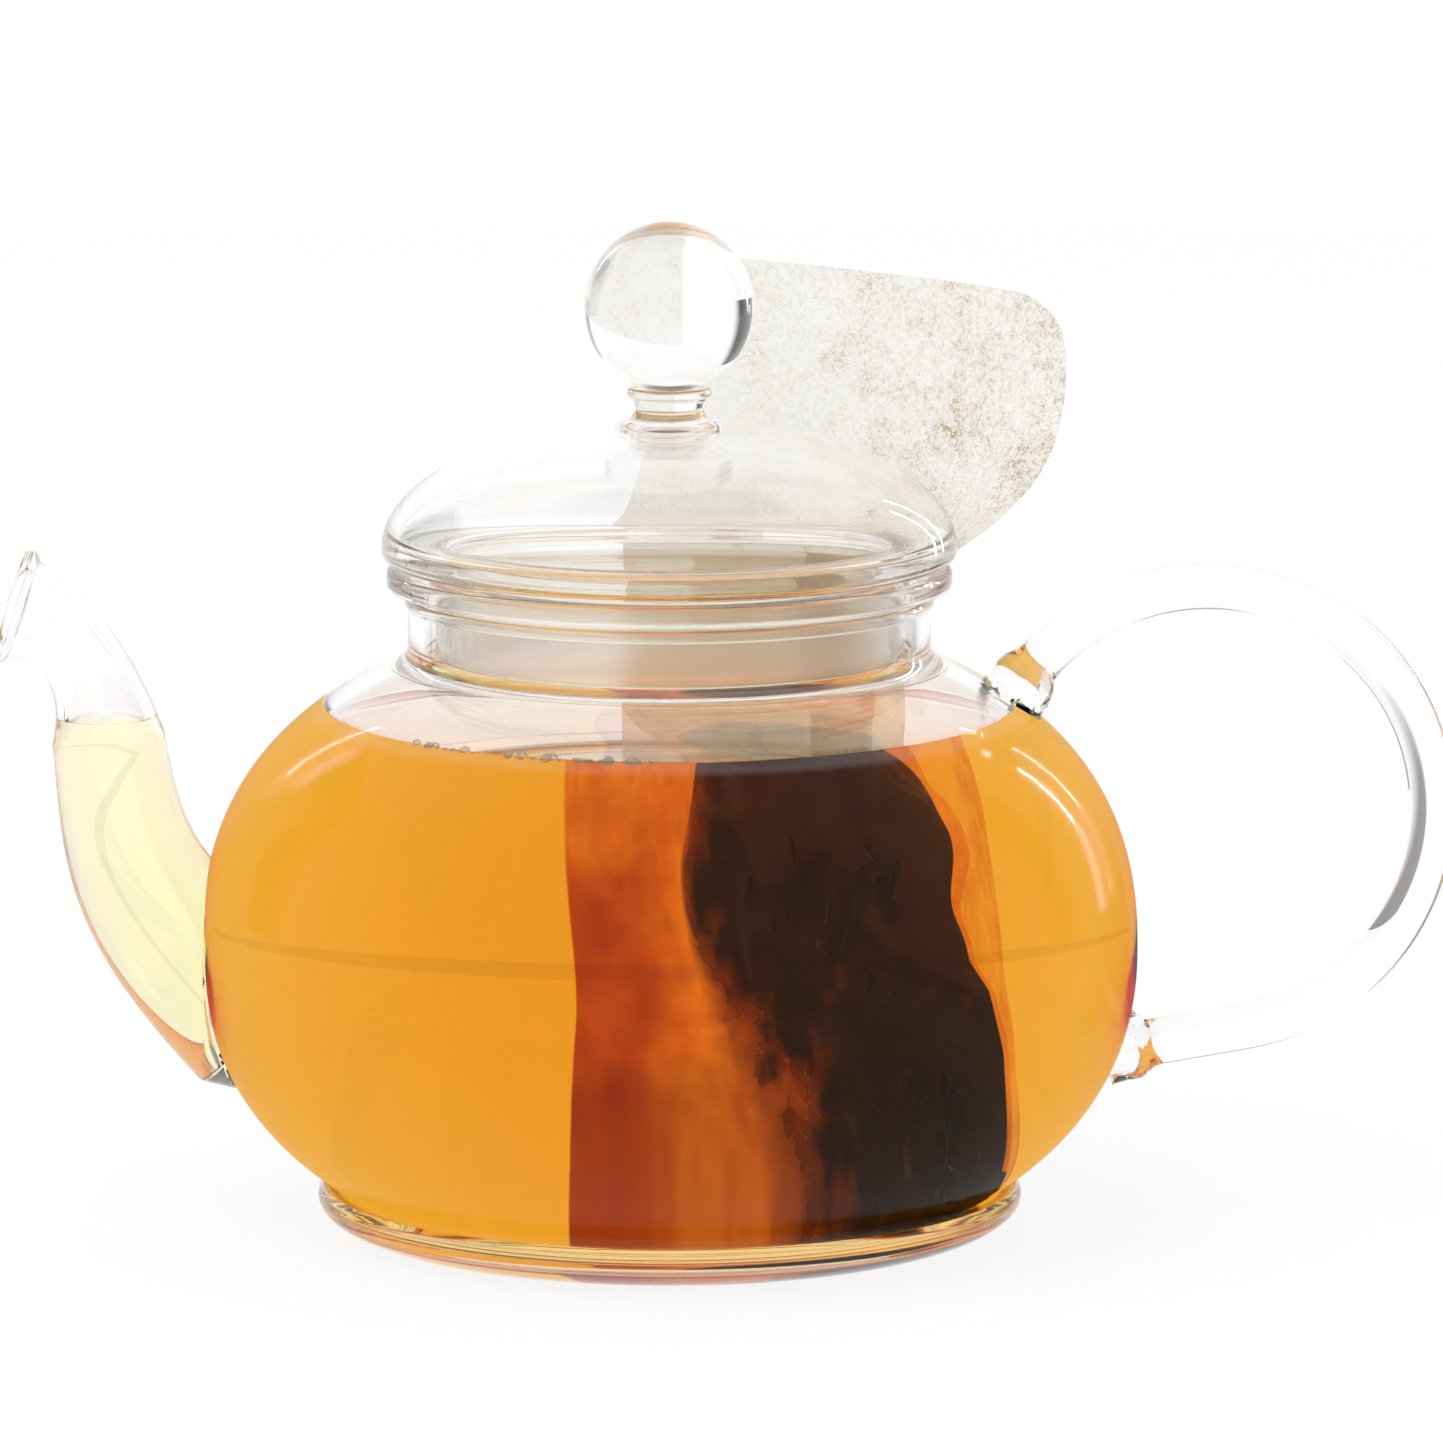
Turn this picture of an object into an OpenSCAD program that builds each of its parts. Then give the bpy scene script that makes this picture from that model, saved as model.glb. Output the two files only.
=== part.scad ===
// Blown glass teapot with a lift-off lid and a paper filter bag pinched under it.
// The origin is the middle of the flat foot. The spout points to -X and the handle to +X.

/* [Bowl] */
// Outer diameter of the bowl at its widest ring
bowl_d = 120; // [110:1:134]
// Height of the widest ring above the table
bowl_mid_h = 36.8; // [34:0.2:42]
// How far above the widest ring the shoulder's curve would close
shoulder_rise = 42.4; // [39:0.2:48]
// How far under the table the belly's curve would close
belly_under = 3.6; // [2:0.2:6]
// Squareness of the shoulder's curve, where 2 is an ellipse
shoulder_power = 2.36; // [2.1:0.02:2.6]
// Squareness of the belly's curve, where 2 is an ellipse
belly_power = 2.22; // [2.1:0.02:2.5]
// Thickness of the blown wall
bowl_wall = 2; // [1.6:0.1:2.6]
// Thickness of the glass under the tea
floor_t = 3.2; // [2.4:0.1:4]
// Height of the groove between the belly and the foot
foot_h = 6; // [5:0.2:8]
// How far the foot stands out from the groove
foot_lip = 3.3; // [1:0.1:4]
// How far the foot rounds in from its widest ring to its flat
foot_heel = 12.6; // [6:0.2:15]

/* [Neck] */
// Outer diameter of the neck
neck_d = 66.8; // [62:0.2:72]
// Thickness of the neck's wall
neck_wall = 2.1; // [1.6:0.1:2.6]
// Height of the neck from the shoulder to the top of its rim
neck_h = 11.7; // [10.6:0.1:16]
// Outward reach and height of the curve between shoulder and neck
neck_fillet = 2.2; // [1:0.1:3]
// How far the rim stands out from the neck
rim_out = 2.7; // [1.8:0.1:4]
// Height of the rim
rim_h = 2.6; // [2:0.1:3.2]
// Radius of the rim's rounded edges
rim_round = 0.8; // [0.4:0.1:0.9]
// Depth of the fine bead under the rim, measured from the rim's top
bead_drop = 4.25; // [4.2:0.05:5]
// How far the bead stands out from the neck
bead_out = 0.4; // [0.1:0.1:0.8]
// Height of the bead
bead_h = 1.6; // [0.8:0.1:1.6]

/* [Lid] */
// Space between the pot's rim and the lid, for the folded paper
seat_gap = 0.65; // [0.6:0.05:0.9]
// How far the lid stands out past the pot's rim
lid_over = 0.65; // [0.5:0.1:1.6]
// Radius of the lid's rolled edge
lid_edge = 1.9; // [1.4:0.1:2.1]
// Rise of the dome above its widest ring
dome_rise = 16.2; // [12:0.2:22]
// Thickness of the dome
lid_wall = 2; // [1.5:0.1:2.5]
// Thickness of the ring that the lid sits on
seat_t = 2.2; // [2.1:0.1:2.8]
// Space between the skirt and the neck's bore
skirt_clear = 1.5; // [1.2:0.1:2.5]
// Thickness of the skirt
skirt_wall = 1.8; // [1.4:0.1:2.4]
// Depth of the skirt under the lid's seat
skirt_drop = 12.7; // [8:0.1:14]

/* [Knob] */
// Diameter of the ball
knob_d = 21.8; // [16:0.2:26]
// Height of the stem between the dome and the ball
stem_h = 3.6; // [2.6:0.1:6]
// Diameter of the stem at its waist
stem_d = 8.6; // [6:0.1:9.4]
// Diameter of the ring under the ball
collar_d = 10.8; // [10:0.1:12]
// Height of the ring under the ball
collar_h = 1.4; // [1:0.1:2]

/* [Spout] */
// Height at which the spout's middle line leaves the bowl
spout_root_h = 34.5; // [33:0.5:38]
// Angle of the spout above the level where it leaves the bowl
spout_root_tilt = 43; // [38:1:48]
// Distance from the bowl's widest ring out to the middle of the spout's waist
spout_out = 11.8; // [11:0.1:14]
// Height of the spout's waist
spout_waist_h = 64; // [61:0.5:68]
// Lean of the spout at its waist, away from the bowl
spout_waist_lean = 7; // [3:1:12]
// Distance from the waist out to the middle of the mouth
mouth_out = 12.7; // [9:0.1:15]
// Height of the middle of the mouth above the waist
mouth_rise = 17.2; // [15:0.1:21]
// Rise of the spout's middle line at the mouth, in degrees above the level
mouth_tilt = 18; // [0:1:30]
// Outer diameter of the spout at the bowl
spout_root_d = 22.4; // [20:0.2:23]
// Diameter of the hole through the bowl's wall into the spout
spout_hole_d = 14; // [10:0.5:14]
// Outer diameter of the spout at its waist
spout_waist_d = 14.4; // [13:0.1:16]
// Outer diameter towards which the spout narrows behind its mouth
spout_beak_d = 9; // [8.4:0.1:12]
// Outer diameter of the mouth
spout_mouth_d = 14.2; // [12.6:0.1:16]
// Thickness of the spout's wall
spout_wall = 1.6; // [1.2:0.1:2]

/* [Handle] */
// Diameter of the solid glass rod
handle_d = 6; // [5:0.1:7]
// Radius of the loop, to the middle of the rod
loop_r = 28.8; // [26:0.1:31]
// Distance of the loop's middle outside the bowl's widest ring
loop_out = 8.8; // [6:0.1:11]
// Height of the loop's middle above the widest ring
loop_rise = 17.9; // [15:0.1:20]
// Angle at which the loop runs out into its straight lower arm
loop_end = -80; // [-88:1:-74]
// Diameter of the rod's flared ends on the bowl
flare_d = 9.4; // [8:0.1:10.5]
// Height at which the flared ends stand off the bowl at full width
flare_stand = 1.8; // [0.6:0.1:3]
// Length of the rod's flared ends above that height
flare_l = 3; // [2:0.1:5]

/* [Filter bag] */
// Thickness of the folded paper
paper_t = 0.25; // [0.2:0.05:0.3]
// Direction of the bag's left edge, seen from above
paper_from = 102; // [96:1:108]
// Direction of the bag's right edge, seen from above
paper_to = 12; // [8:1:18]
// Height of the flap's top left corner
flap_left_h = 122; // [116:0.5:128]
// Height of the flap's top right corner
flap_right_h = 118.5; // [112:0.5:124]
// Drop of the flap's rounded right corner
flap_corner = 7; // [4:0.5:12]
// Space between the floor of the bowl and the bag
bag_lift = 2.3; // [1:0.1:5]
// Greatest thickness of the filled pouch
pouch_t = 16; // [13:0.5:18]
// Height of the pouch at which it starts to thin out into the folded paper
pouch_full_h = 50; // [46:1:54]
// Height at which the pouch has thinned out into folded paper
pouch_thin_h = 68; // [66:0.5:70]
// Height of the tea leaves above the bag's bottom
leaves_h = 42; // [24:1:42]
// Space between the tea leaves and the paper round them
leaves_clear = 0.3; // [0.2:0.05:0.5]

/* [Hidden] */
$fn = 96;

// Steps along the long curves, the rolled edges and the small rounded corners
curve_steps = 24;
edge_steps = 8;
corner_steps = 5;

// Depth to which fused pieces of glass run into each other
fuse = 0.3;
// Depth to which the spout and the handle run into the bowl's wall
root_fuse = bowl_wall / 2;

bowl_r = bowl_d / 2;
belly_drop = bowl_mid_h + belly_under;
belly_in_drop = belly_drop - bowl_wall;
shoulder_in_rise = shoulder_rise - bowl_wall;
bowl_in_r = bowl_r - bowl_wall;
neck_r = neck_d / 2;
neck_in_r = neck_r - neck_wall;
rim_r = neck_r + rim_out;

// Where the neck starts on the shoulder, outside and inside, and where its rim ends
neck_z = bowl_mid_h + off_at(bowl_r, shoulder_rise, shoulder_power, neck_r);
neck_in_z = bowl_mid_h + off_at(bowl_in_r, shoulder_in_rise, shoulder_power, neck_in_r);
rim_z = neck_z + neck_h;

foot_groove_r = radius_at(foot_h);
foot_r = foot_groove_r + foot_lip;
foot_flat_r = foot_r - foot_heel;
// Share of the foot's height at which it is widest
foot_mid_share = 0.8;
foot_mid_h = foot_h * foot_mid_share;
// How far the foot's round edge turns in above its widest ring
foot_turn = 20;

lid_z = rim_z + seat_gap;
lid_r = rim_r + lid_over;
dome_z = lid_z + lid_edge;
dome_top_z = dome_z + dome_rise;
// Angle on the dome's ellipse at which it takes over from the rolled edge
dome_from = 3;
skirt_r = neck_in_r - skirt_clear;
skirt_in_r = skirt_r - skirt_wall;

knob_r = knob_d / 2;
knob_z = dome_top_z + stem_h + knob_r;
collar_z = dome_top_z + stem_h - collar_h / 2;
// How far the stem's foot spreads on the dome, and how thick it is there
stem_spread = 2.4;
stem_foot_t = 0.6;

// The spout's middle line runs in the plane y = 0 as two joined curves
spout_root = [-radius_at(spout_root_h), spout_root_h];
spout_root_dir = [-cos(spout_root_tilt), sin(spout_root_tilt)];
spout_inset = 10;
// Inside the bowl's wall the spout's foot closes in by this share over this length
foot_share = 0.6;
foot_run = 8;
spout_start = spout_root - spout_inset * spout_root_dir;
spout_waist = [-bowl_r - spout_out, spout_waist_h];
spout_waist_dir = [-sin(spout_waist_lean), cos(spout_waist_lean)];
spout_mouth = spout_waist + [-mouth_out, mouth_rise];
mouth_dir = [-cos(mouth_tilt), sin(mouth_tilt)];
root_pull = 22;
waist_pull = 16;
beak_pull = 9;
mouth_pull = 8;
spout_steps = 12;
spout_sides = 40;
bore_overrun = 3;
spout_line = concat(
    [spout_start - foot_run * spout_root_dir],
    [for (i = [0:spout_steps]) bezier(i / spout_steps,
        spout_start, spout_start + root_pull * spout_root_dir,
        spout_waist - waist_pull * spout_waist_dir, spout_waist)],
    [for (i = [1:spout_steps]) bezier(i / spout_steps,
        spout_waist, spout_waist + beak_pull * spout_waist_dir,
        spout_mouth - mouth_pull * mouth_dir, spout_mouth)]);
root_swell = 1.3;
spout_radii = concat(
    [foot_share * spout_root_d / 2],
    [for (i = [0:spout_steps]) let (t = 1 - i / spout_steps)
        (spout_waist_d + (spout_root_d - spout_waist_d) * pow(t, root_swell)) / 2],
    [for (i = [1:spout_steps]) let (t = i / spout_steps)
        bezier(t, spout_waist_d, spout_beak_d, spout_beak_d, spout_mouth_d) / 2]);

handle_r = handle_d / 2;
loop_x = bowl_r + loop_out;
loop_z = bowl_mid_h + loop_rise;
arm_dir = [sin(loop_end), -cos(loop_end)];
arm_start = [loop_x, loop_z] + loop_r * [cos(loop_end), sin(loop_end)];
// Angles of the loop's top, clear of the bowl, and of a point well inside the bowl
loop_top = 90;
loop_inside = 178;
// Angle on the loop and distance along the arm at which the rod meets the bowl
meet_halvings = 24;
loop_meet = meet_loop(loop_top, loop_inside, meet_halvings);
arm_meet = meet_arm(0, loop_x, meet_halvings);
flare_sink = 4;
flare_neck = 0.4;
// The drawn-out arm is a hair thinner than the loop and starts just inside its end
arm_draw = 0.05;
arm_lap = 0.5;

// The folded paper runs up the neck's bore, over the rim and up behind the lid
bag_z = floor_t + bag_lift;
paper_r = skirt_r + skirt_clear / 2;
paper_z = rim_z + seat_gap / 2;
paper_bend = 0.6;
flap_clear = 0.7;
flap_r = lid_r + flap_clear;
flap_steps = 10;
bend_steps = 4;
pouch_steps = 12;
paper_cols = 16;
// The pouch hangs between two upright edges, and bulges to both sides of the line between them
pouch_left = neck_in_r * [-0.304, 0.639];
pouch_right = neck_in_r * [0.927, 0.176];
pouch_line = pouch_right - pouch_left;
pouch_w = norm(pouch_line);
pouch_dir = pouch_line / pouch_w;
pouch_side = [-pouch_dir[1], pouch_dir[0]];
pouch_skew = 1.6;
pouch_foot_t = 2;
pouch_foot_h = 9;
// The flap's top edge, as the ends and the pull of a curve
flap_left = flap_r * [-0.07, 1.02];
flap_right = flap_r * [1.36, 0.373];
flap_pull = flap_r * [0.765, 0.96];
flap_spread = 3;
flap_corner_u = 0.15;
// The tea leaves fill the right part of the pouch
leaves_from = 0.34;
leaves_to = 0.96;
leaves_skin = 1.7;
leaves_foot = 3.4;
leaves_l = pouch_w * (leaves_to - leaves_from);
leaves_sag = pouch_t / 2 - leaves_skin;

glass = [0.82, 0.9, 0.92, 0.45];
clear_glass = [0.9, 0.95, 0.97, 0.45];
paper = [0.82, 0.76, 0.64];
leaf = [0.2, 0.11, 0.06];

// Radius of a rounded-square curve at a distance from its widest ring
function radius_off(r, reach, power, off) = r * pow(max(0, 1 - pow(off / reach, power)), 1 / power);

// Distance from the widest ring at which that curve has a given radius
function off_at(r, reach, power, at) = reach * pow(max(0, 1 - pow(at / r, power)), 1 / power);

// Outer radius of the bowl at a height
function radius_at(z) = z > bowl_mid_h
    ? radius_off(bowl_r, shoulder_rise, shoulder_power, z - bowl_mid_h)
    : radius_off(bowl_r, belly_drop, belly_power, bowl_mid_h - z);

// Points of the curve as [radius, distance], from one distance to another
function swell(r, reach, power, from, to, steps) =
    let (a = asin(pow(from / reach, power / 2)), b = asin(pow(to / reach, power / 2)))
    [for (i = [0:steps]) let (t = a + (b - a) * i / steps)
        [r * pow(cos(t), 2 / power), reach * pow(sin(t), 2 / power)]];

// The same points as [radius, height], above or below the widest ring
function above(points) = [for (p = points) [p[0], bowl_mid_h + p[1]]];
function below(points) = [for (p = points) [p[0], bowl_mid_h - p[1]]];

// A corner rounded by a parabola from p0 to p2, drawn towards p1
function soft(p0, p1, p2, steps = corner_steps) =
    [for (i = [0:steps]) let (t = i / steps) (1 - t) * (1 - t) * p0 + 2 * t * (1 - t) * p1 + t * t * p2];

function bezier(t, p0, p1, p2, p3) =
    pow(1 - t, 3) * p0 + 3 * t * pow(1 - t, 2) * p1 + 3 * t * t * (1 - t) * p2 + t * t * t * p3;

function arc(centre, rx, ry, from, to, steps) =
    [for (i = [0:steps]) let (a = from + (to - from) * i / steps) centre + [rx * cos(a), ry * sin(a)]];

function mix(a, b, t) = a + (b - a) * t;
function ease(t) = t * t * (3 - 2 * t);

// The angle on the handle's loop, and the distance along its arm, where its middle meets the bowl
function outside(p) = p[0] > radius_at(p[1]);
function loop_point(a) = [loop_x, loop_z] + loop_r * [cos(a), sin(a)];
function arm_point(d) = arm_start + d * arm_dir;
function meet_loop(a, b, n) = n == 0 ? a
    : let (m = (a + b) / 2) outside(loop_point(m)) ? meet_loop(m, b, n - 1) : meet_loop(a, m, n - 1);
function meet_arm(a, b, n) = n == 0 ? a
    : let (m = (a + b) / 2) outside(arm_point(m)) ? meet_arm(m, b, n - 1) : meet_arm(a, m, n - 1);

// The triangles that close one end: strips between the two halves of its ring
function cap_faces(first, sides, flip) = [for (j = [0:sides / 2 - 2])
    let (a = first + j, b = first + sides - 1 - j)
    each flip ? [[a + 1, a, b - 1], [b - 1, a, b]] : [[a, a + 1, b - 1], [a, b - 1, b]]];

// Skin of a closed body whose rings all have the same even number of points
function skin_faces(rings, sides) = concat(
    cap_faces(0, sides, false),
    [for (i = [0:rings - 2], j = [0:sides - 1]) let (a = i * sides + j, b = i * sides + (j + 1) % sides)
        each [[a, a + sides, b], [b, a + sides, b + sides]]],
    cap_faces((rings - 1) * sides, sides, true));

module skin(rings) {
    sides = len(rings[0]);
    polyhedron([for (ring = rings) each ring], skin_faces(len(rings), sides));
}

// A round tube's body along a line in the plane y = 0
module bent_rod(line, radii, sides) {
    last = len(line) - 1;
    skin([for (i = [0:last])
        let (step = line[min(i + 1, last)] - line[max(i - 1, 0)], along = step / norm(step))
        [for (j = [0:sides - 1]) let (a = 360 * j / sides)
            [line[i][0] - radii[i] * cos(a) * along[1], -radii[i] * sin(a),
                line[i][1] + radii[i] * cos(a) * along[0]]]]);
}

// The bowl's outer form, shrunk by a depth and closed over at the top
module bowl_core(depth) {
    core_r = bowl_r - depth;
    rotate_extrude() polygon(concat(
        [[0, foot_h]],
        below(swell(core_r, belly_drop - depth, belly_power, bowl_mid_h - foot_h, 0, curve_steps)),
        above(swell(core_r, shoulder_rise - depth, shoulder_power, 0, shoulder_rise - depth, curve_steps))));
}

module spout_bore() {
    inner = [for (r = spout_radii) r - spout_wall];
    last = len(spout_line) - 1;
    bent_rod(
        concat([spout_line[0] - bore_overrun * spout_root_dir], spout_line,
            [spout_mouth + bore_overrun * mouth_dir]),
        concat([inner[0]], inner, [inner[last]]), spout_sides);
}

module pot_bowl() {
    bead_z = rim_z - bead_drop;
    under_z = rim_z - rim_h;
    fillet_r = neck_r + neck_fillet;
    outline = concat(
        [[0, 0]],
        arc([foot_flat_r, foot_mid_h], foot_heel, foot_mid_h, -90, foot_turn, edge_steps),
        below(swell(bowl_r, belly_drop, belly_power, bowl_mid_h - foot_h, 0, curve_steps)),
        above(swell(bowl_r, shoulder_rise, shoulder_power, 1,
            off_at(bowl_r, shoulder_rise, shoulder_power, fillet_r), curve_steps)),
        soft([fillet_r, neck_z - neck_fillet / 3], [neck_r, neck_z], [neck_r, neck_z + neck_fillet]),
        arc([neck_r, bead_z], bead_out, bead_h / 2, -90, 90, edge_steps),
        soft([neck_r, under_z - rim_round], [neck_r, under_z], [rim_r - rim_round, under_z]),
        soft([rim_r - rim_round, under_z], [rim_r, under_z], [rim_r, under_z + rim_round]),
        soft([rim_r, rim_z - rim_round], [rim_r, rim_z], [rim_r - rim_round, rim_z]),
        soft([neck_in_r + rim_round, rim_z], [neck_in_r, rim_z], [neck_in_r, rim_z - rim_round]),
        above(swell(bowl_in_r, shoulder_in_rise, shoulder_power, neck_in_z - bowl_mid_h, 1, curve_steps)),
        below(swell(bowl_in_r, belly_in_drop, belly_power, 0, bowl_mid_h - floor_t, curve_steps)),
        [[0, floor_t]]);
    color(glass) difference() {
        rotate_extrude() polygon(outline);
        translate([spout_start[0], 0, spout_start[1]])
            rotate([0, spout_root_tilt - 90, 0])
                cylinder(d = spout_hole_d, h = 2 * spout_inset);
    }
}

module spout() {
    color(clear_glass) difference() {
        bent_rod(spout_line, spout_radii, spout_sides);
        spout_bore();
        bowl_core(root_fuse);
    }
}

// Puts its child at a point of the plane y = 0, with the child's Z along a direction in that plane
module set_along(at, dir) {
    translate([at[0], 0, at[1]]) rotate([0, atan2(dir[0], dir[1]), 0]) children();
}

// The rod's end, opened out like a bell against the bowl
module flare() {
    neck = handle_r - flare_neck;
    rotate_extrude() polygon(concat(
        [[0, -flare_sink], [flare_d / 2, -flare_sink]],
        soft([flare_d / 2, flare_stand], [neck, flare_stand], [neck, flare_stand + flare_l], edge_steps),
        [[0, flare_stand + flare_l]]));
}

module handle() {
    loop_dir = [sin(loop_meet), -cos(loop_meet)];
    color(clear_glass) difference() {
        union() {
            translate([loop_x, 0, loop_z]) rotate([90, 0, 0]) rotate([0, 0, loop_end])
                rotate_extrude(angle = loop_meet - loop_end) translate([loop_r, 0]) circle(handle_r);
            set_along(arm_start - arm_lap * arm_dir, arm_dir)
                cylinder(r = handle_r - arm_draw, h = arm_lap + arm_meet);
            set_along(loop_point(loop_meet), loop_dir) flare();
            set_along(arm_point(arm_meet), -arm_dir) flare();
        }
        bowl_core(root_fuse);
    }
}

module lid_dome() {
    color(glass) rotate_extrude() polygon(concat(
        [[skirt_r - fuse, lid_z]],
        arc([lid_r - lid_edge, dome_z], lid_edge, lid_edge, -90, 0, edge_steps),
        arc([0, dome_z], lid_r, dome_rise, dome_from, 90, curve_steps),
        arc([0, dome_z], lid_r - lid_wall, dome_rise - lid_wall, 90, dome_from, curve_steps),
        [[skirt_r - fuse, lid_z + seat_t]]));
}

module lid_skirt() {
    skirt_z = lid_z - skirt_drop;
    round_r = skirt_wall / 2;
    color(glass) rotate_extrude() polygon(concat(
        [[skirt_in_r, lid_z + seat_t]],
        arc([skirt_r - round_r, skirt_z + round_r], round_r, round_r, -180, 0, edge_steps),
        [[skirt_r, lid_z + seat_t]]));
}

module knob_collar() {
    foot_z = dome_top_z - lid_wall / 2;
    stem_foot_r = stem_d / 2 + stem_spread;
    waist_z = dome_top_z + stem_h / 2;
    collar_r = collar_d / 2;
    edge = collar_h / 2;
    color(clear_glass) rotate_extrude() polygon(concat(
        [[0, foot_z], [stem_foot_r, foot_z]],
        soft([stem_foot_r, foot_z + stem_foot_t], [stem_d / 2, dome_top_z], [stem_d / 2, waist_z]),
        arc([collar_r - edge, collar_z + edge], edge, edge, -90, 90, edge_steps),
        [[0, collar_z + collar_h]]));
}

module lid_knob() {
    color(clear_glass) translate([0, 0, knob_z]) sphere(knob_r);
}

// One ring of the bag: its front points, then its back points in return order
function paper_ring(middle, off) = concat(
    [for (i = [0:paper_cols]) middle[i] - off[i]],
    [for (i = [paper_cols:-1:0]) middle[i] + off[i]]);

function paper_az(i) = mix(paper_from, paper_to, i / paper_cols);

// The paper's middle and half-thickness where it follows the neck: at a radius and height,
// facing outwards at an angle above the level
function round_ring(r, z, face) = paper_ring(
    [for (i = [0:paper_cols]) let (a = paper_az(i)) [r * cos(a), r * sin(a), z]],
    [for (i = [0:paper_cols]) let (a = paper_az(i))
        paper_t / 2 * [cos(face) * cos(a), cos(face) * sin(a), sin(face)]]);

function pouch_bulge(u, t) = (paper_t + (t - paper_t) * sin(180 * pow(u, pouch_skew))) / 2;

// A ring of the pouch at a height: it fills out from its foot and thins into the folded paper
function pouch_ring(z) =
    let (rise = min(1, (z - bag_z) / pouch_foot_h),
        thin = ease(max(0, min(1, (z - pouch_full_h) / (pouch_thin_h - pouch_full_h)))),
        t = mix(mix(pouch_foot_t, pouch_t, sin(90 * rise)), paper_t, thin))
    paper_ring(
        [for (i = [0:paper_cols]) let (a = paper_az(i), hung = pouch_left + pouch_line * i / paper_cols,
            p = mix(hung, paper_r * [cos(a), sin(a)], thin)) [p[0], p[1], z]],
        [for (i = [0:paper_cols]) let (a = paper_az(i), side = mix(pouch_side, [cos(a), sin(a)], thin))
            pouch_bulge(i / paper_cols, t) * [side[0], side[1], 0]]);

// Height of the flap's top edge, rounded down at its right corner
function flap_top(u) = let (c = max(0, 1 - (1 - u) / flap_corner_u))
    mix(flap_left_h, flap_right_h, u) - flap_corner * (1 - sqrt(1 - c * c));

// A ring of the flap, from the bend behind the lid at v = 0 to its top edge at v = 1
function flap_ring(v) =
    let (edge = soft(flap_left, flap_pull, flap_right, paper_cols), spread = 1 - pow(1 - v, flap_spread))
    paper_ring(
        [for (i = [0:paper_cols]) let (a = paper_az(i), p = mix(flap_r * [cos(a), sin(a)], edge[i], spread))
            [p[0], p[1], mix(paper_z + paper_bend, flap_top(i / paper_cols), v)]],
        [for (i = [0:paper_cols]) let (a = paper_az(i)) paper_t / 2 * [cos(a), sin(a), 0]]);

bag_rings = concat(
    [for (i = [0:pouch_steps]) pouch_ring(mix(bag_z, pouch_thin_h, i / pouch_steps))],
    [round_ring(paper_r, neck_in_z, 0)],
    [for (i = [0:bend_steps]) let (a = 90 * i / bend_steps)
        round_ring(paper_r + paper_bend * (1 - cos(a)), paper_z - paper_bend * (1 - sin(a)), -a)],
    [for (i = [0:bend_steps]) let (a = 90 * i / bend_steps)
        round_ring(flap_r - paper_bend * (1 - sin(a)), paper_z + paper_bend * (1 - cos(a)), a - 90)],
    [for (i = [1:flap_steps]) flap_ring(i / flap_steps)]);

// The lens-shaped space that the leaves fill, smaller all round by a gap
module leaf_space(gap, z0, z1) {
    half = leaves_l / 2 - gap * 2;
    sag = leaves_sag - gap;
    lens_r = (half * half + sag * sag) / (2 * sag);
    middle = pouch_left + pouch_line * (leaves_from + leaves_to) / 2;
    translate([middle[0], middle[1], z0]) rotate(atan2(pouch_dir[1], pouch_dir[0]))
        linear_extrude(z1 - z0) intersection() {
            translate([0, lens_r - sag]) circle(lens_r);
            translate([0, sag - lens_r]) circle(lens_r);
        }
}

module filter_bag() {
    color(paper) difference() {
        skin(bag_rings);
        leaf_space(0, bag_z + leaves_foot - leaves_clear, bag_z + leaves_h + leaves_clear);
    }
}

module tea_leaves() {
    color(leaf) leaf_space(leaves_clear, bag_z + leaves_foot, bag_z + leaves_h);
}

pot_bowl();
spout();
handle();
lid_dome();
lid_skirt();
knob_collar();
lid_knob();
filter_bag();
tea_leaves();
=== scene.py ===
import math
import random

import bmesh
import bpy
from mathutils import Matrix, Vector, noise


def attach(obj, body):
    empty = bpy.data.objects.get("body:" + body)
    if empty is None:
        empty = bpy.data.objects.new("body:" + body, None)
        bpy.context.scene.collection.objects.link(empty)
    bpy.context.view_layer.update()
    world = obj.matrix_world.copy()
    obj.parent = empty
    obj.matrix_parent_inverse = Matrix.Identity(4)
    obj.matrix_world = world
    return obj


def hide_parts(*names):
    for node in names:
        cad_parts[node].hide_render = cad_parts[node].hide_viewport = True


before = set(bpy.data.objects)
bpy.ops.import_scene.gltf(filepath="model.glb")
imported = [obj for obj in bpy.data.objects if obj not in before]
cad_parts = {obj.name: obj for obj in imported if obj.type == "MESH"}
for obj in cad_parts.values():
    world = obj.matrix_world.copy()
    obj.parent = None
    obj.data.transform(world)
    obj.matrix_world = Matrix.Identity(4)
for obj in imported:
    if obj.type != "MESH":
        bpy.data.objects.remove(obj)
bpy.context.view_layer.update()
scene = bpy.context.scene
mm = 0.001
noise.seed_set(3)  # the same ripples and lumps in every run


def mix(a, b, t):
    return a + (b - a) * t


def ease(t):
    t = min(1, max(0, t))
    return t * t * (3 - 2 * t)


def bezier(t, p0, p1, p2, p3):
    s = 1 - t
    return p0 * s ** 3 + p1 * 3 * s * s * t + p2 * 3 * s * t * t + p3 * t ** 3


def roundedOff(r, reach, power, off):  # radius of a rounded-square curve at a distance from its widest ring
    return r * max(0, 1 - (off / reach) ** power) ** (1 / power)


def distanceAt(r, reach, power, at):
    return reach * max(0, 1 - (at / r) ** power) ** (1 / power)


def swell(r, reach, power, start, stop, steps):
    a = math.asin((start / reach) ** (power / 2))
    b = math.asin((stop / reach) ** (power / 2))
    spots = [mix(a, b, i / steps) for i in range(steps + 1)]
    return [(r * math.cos(t) ** (2 / power), reach * math.sin(t) ** (2 / power)) for t in spots]


def arcPoints(cx, cz, rx, rz, start, stop, steps):
    spots = [math.radians(mix(start, stop, i / steps)) for i in range(steps + 1)]
    return [(cx + rx * math.cos(t), cz + rz * math.sin(t)) for t in spots]


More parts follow.
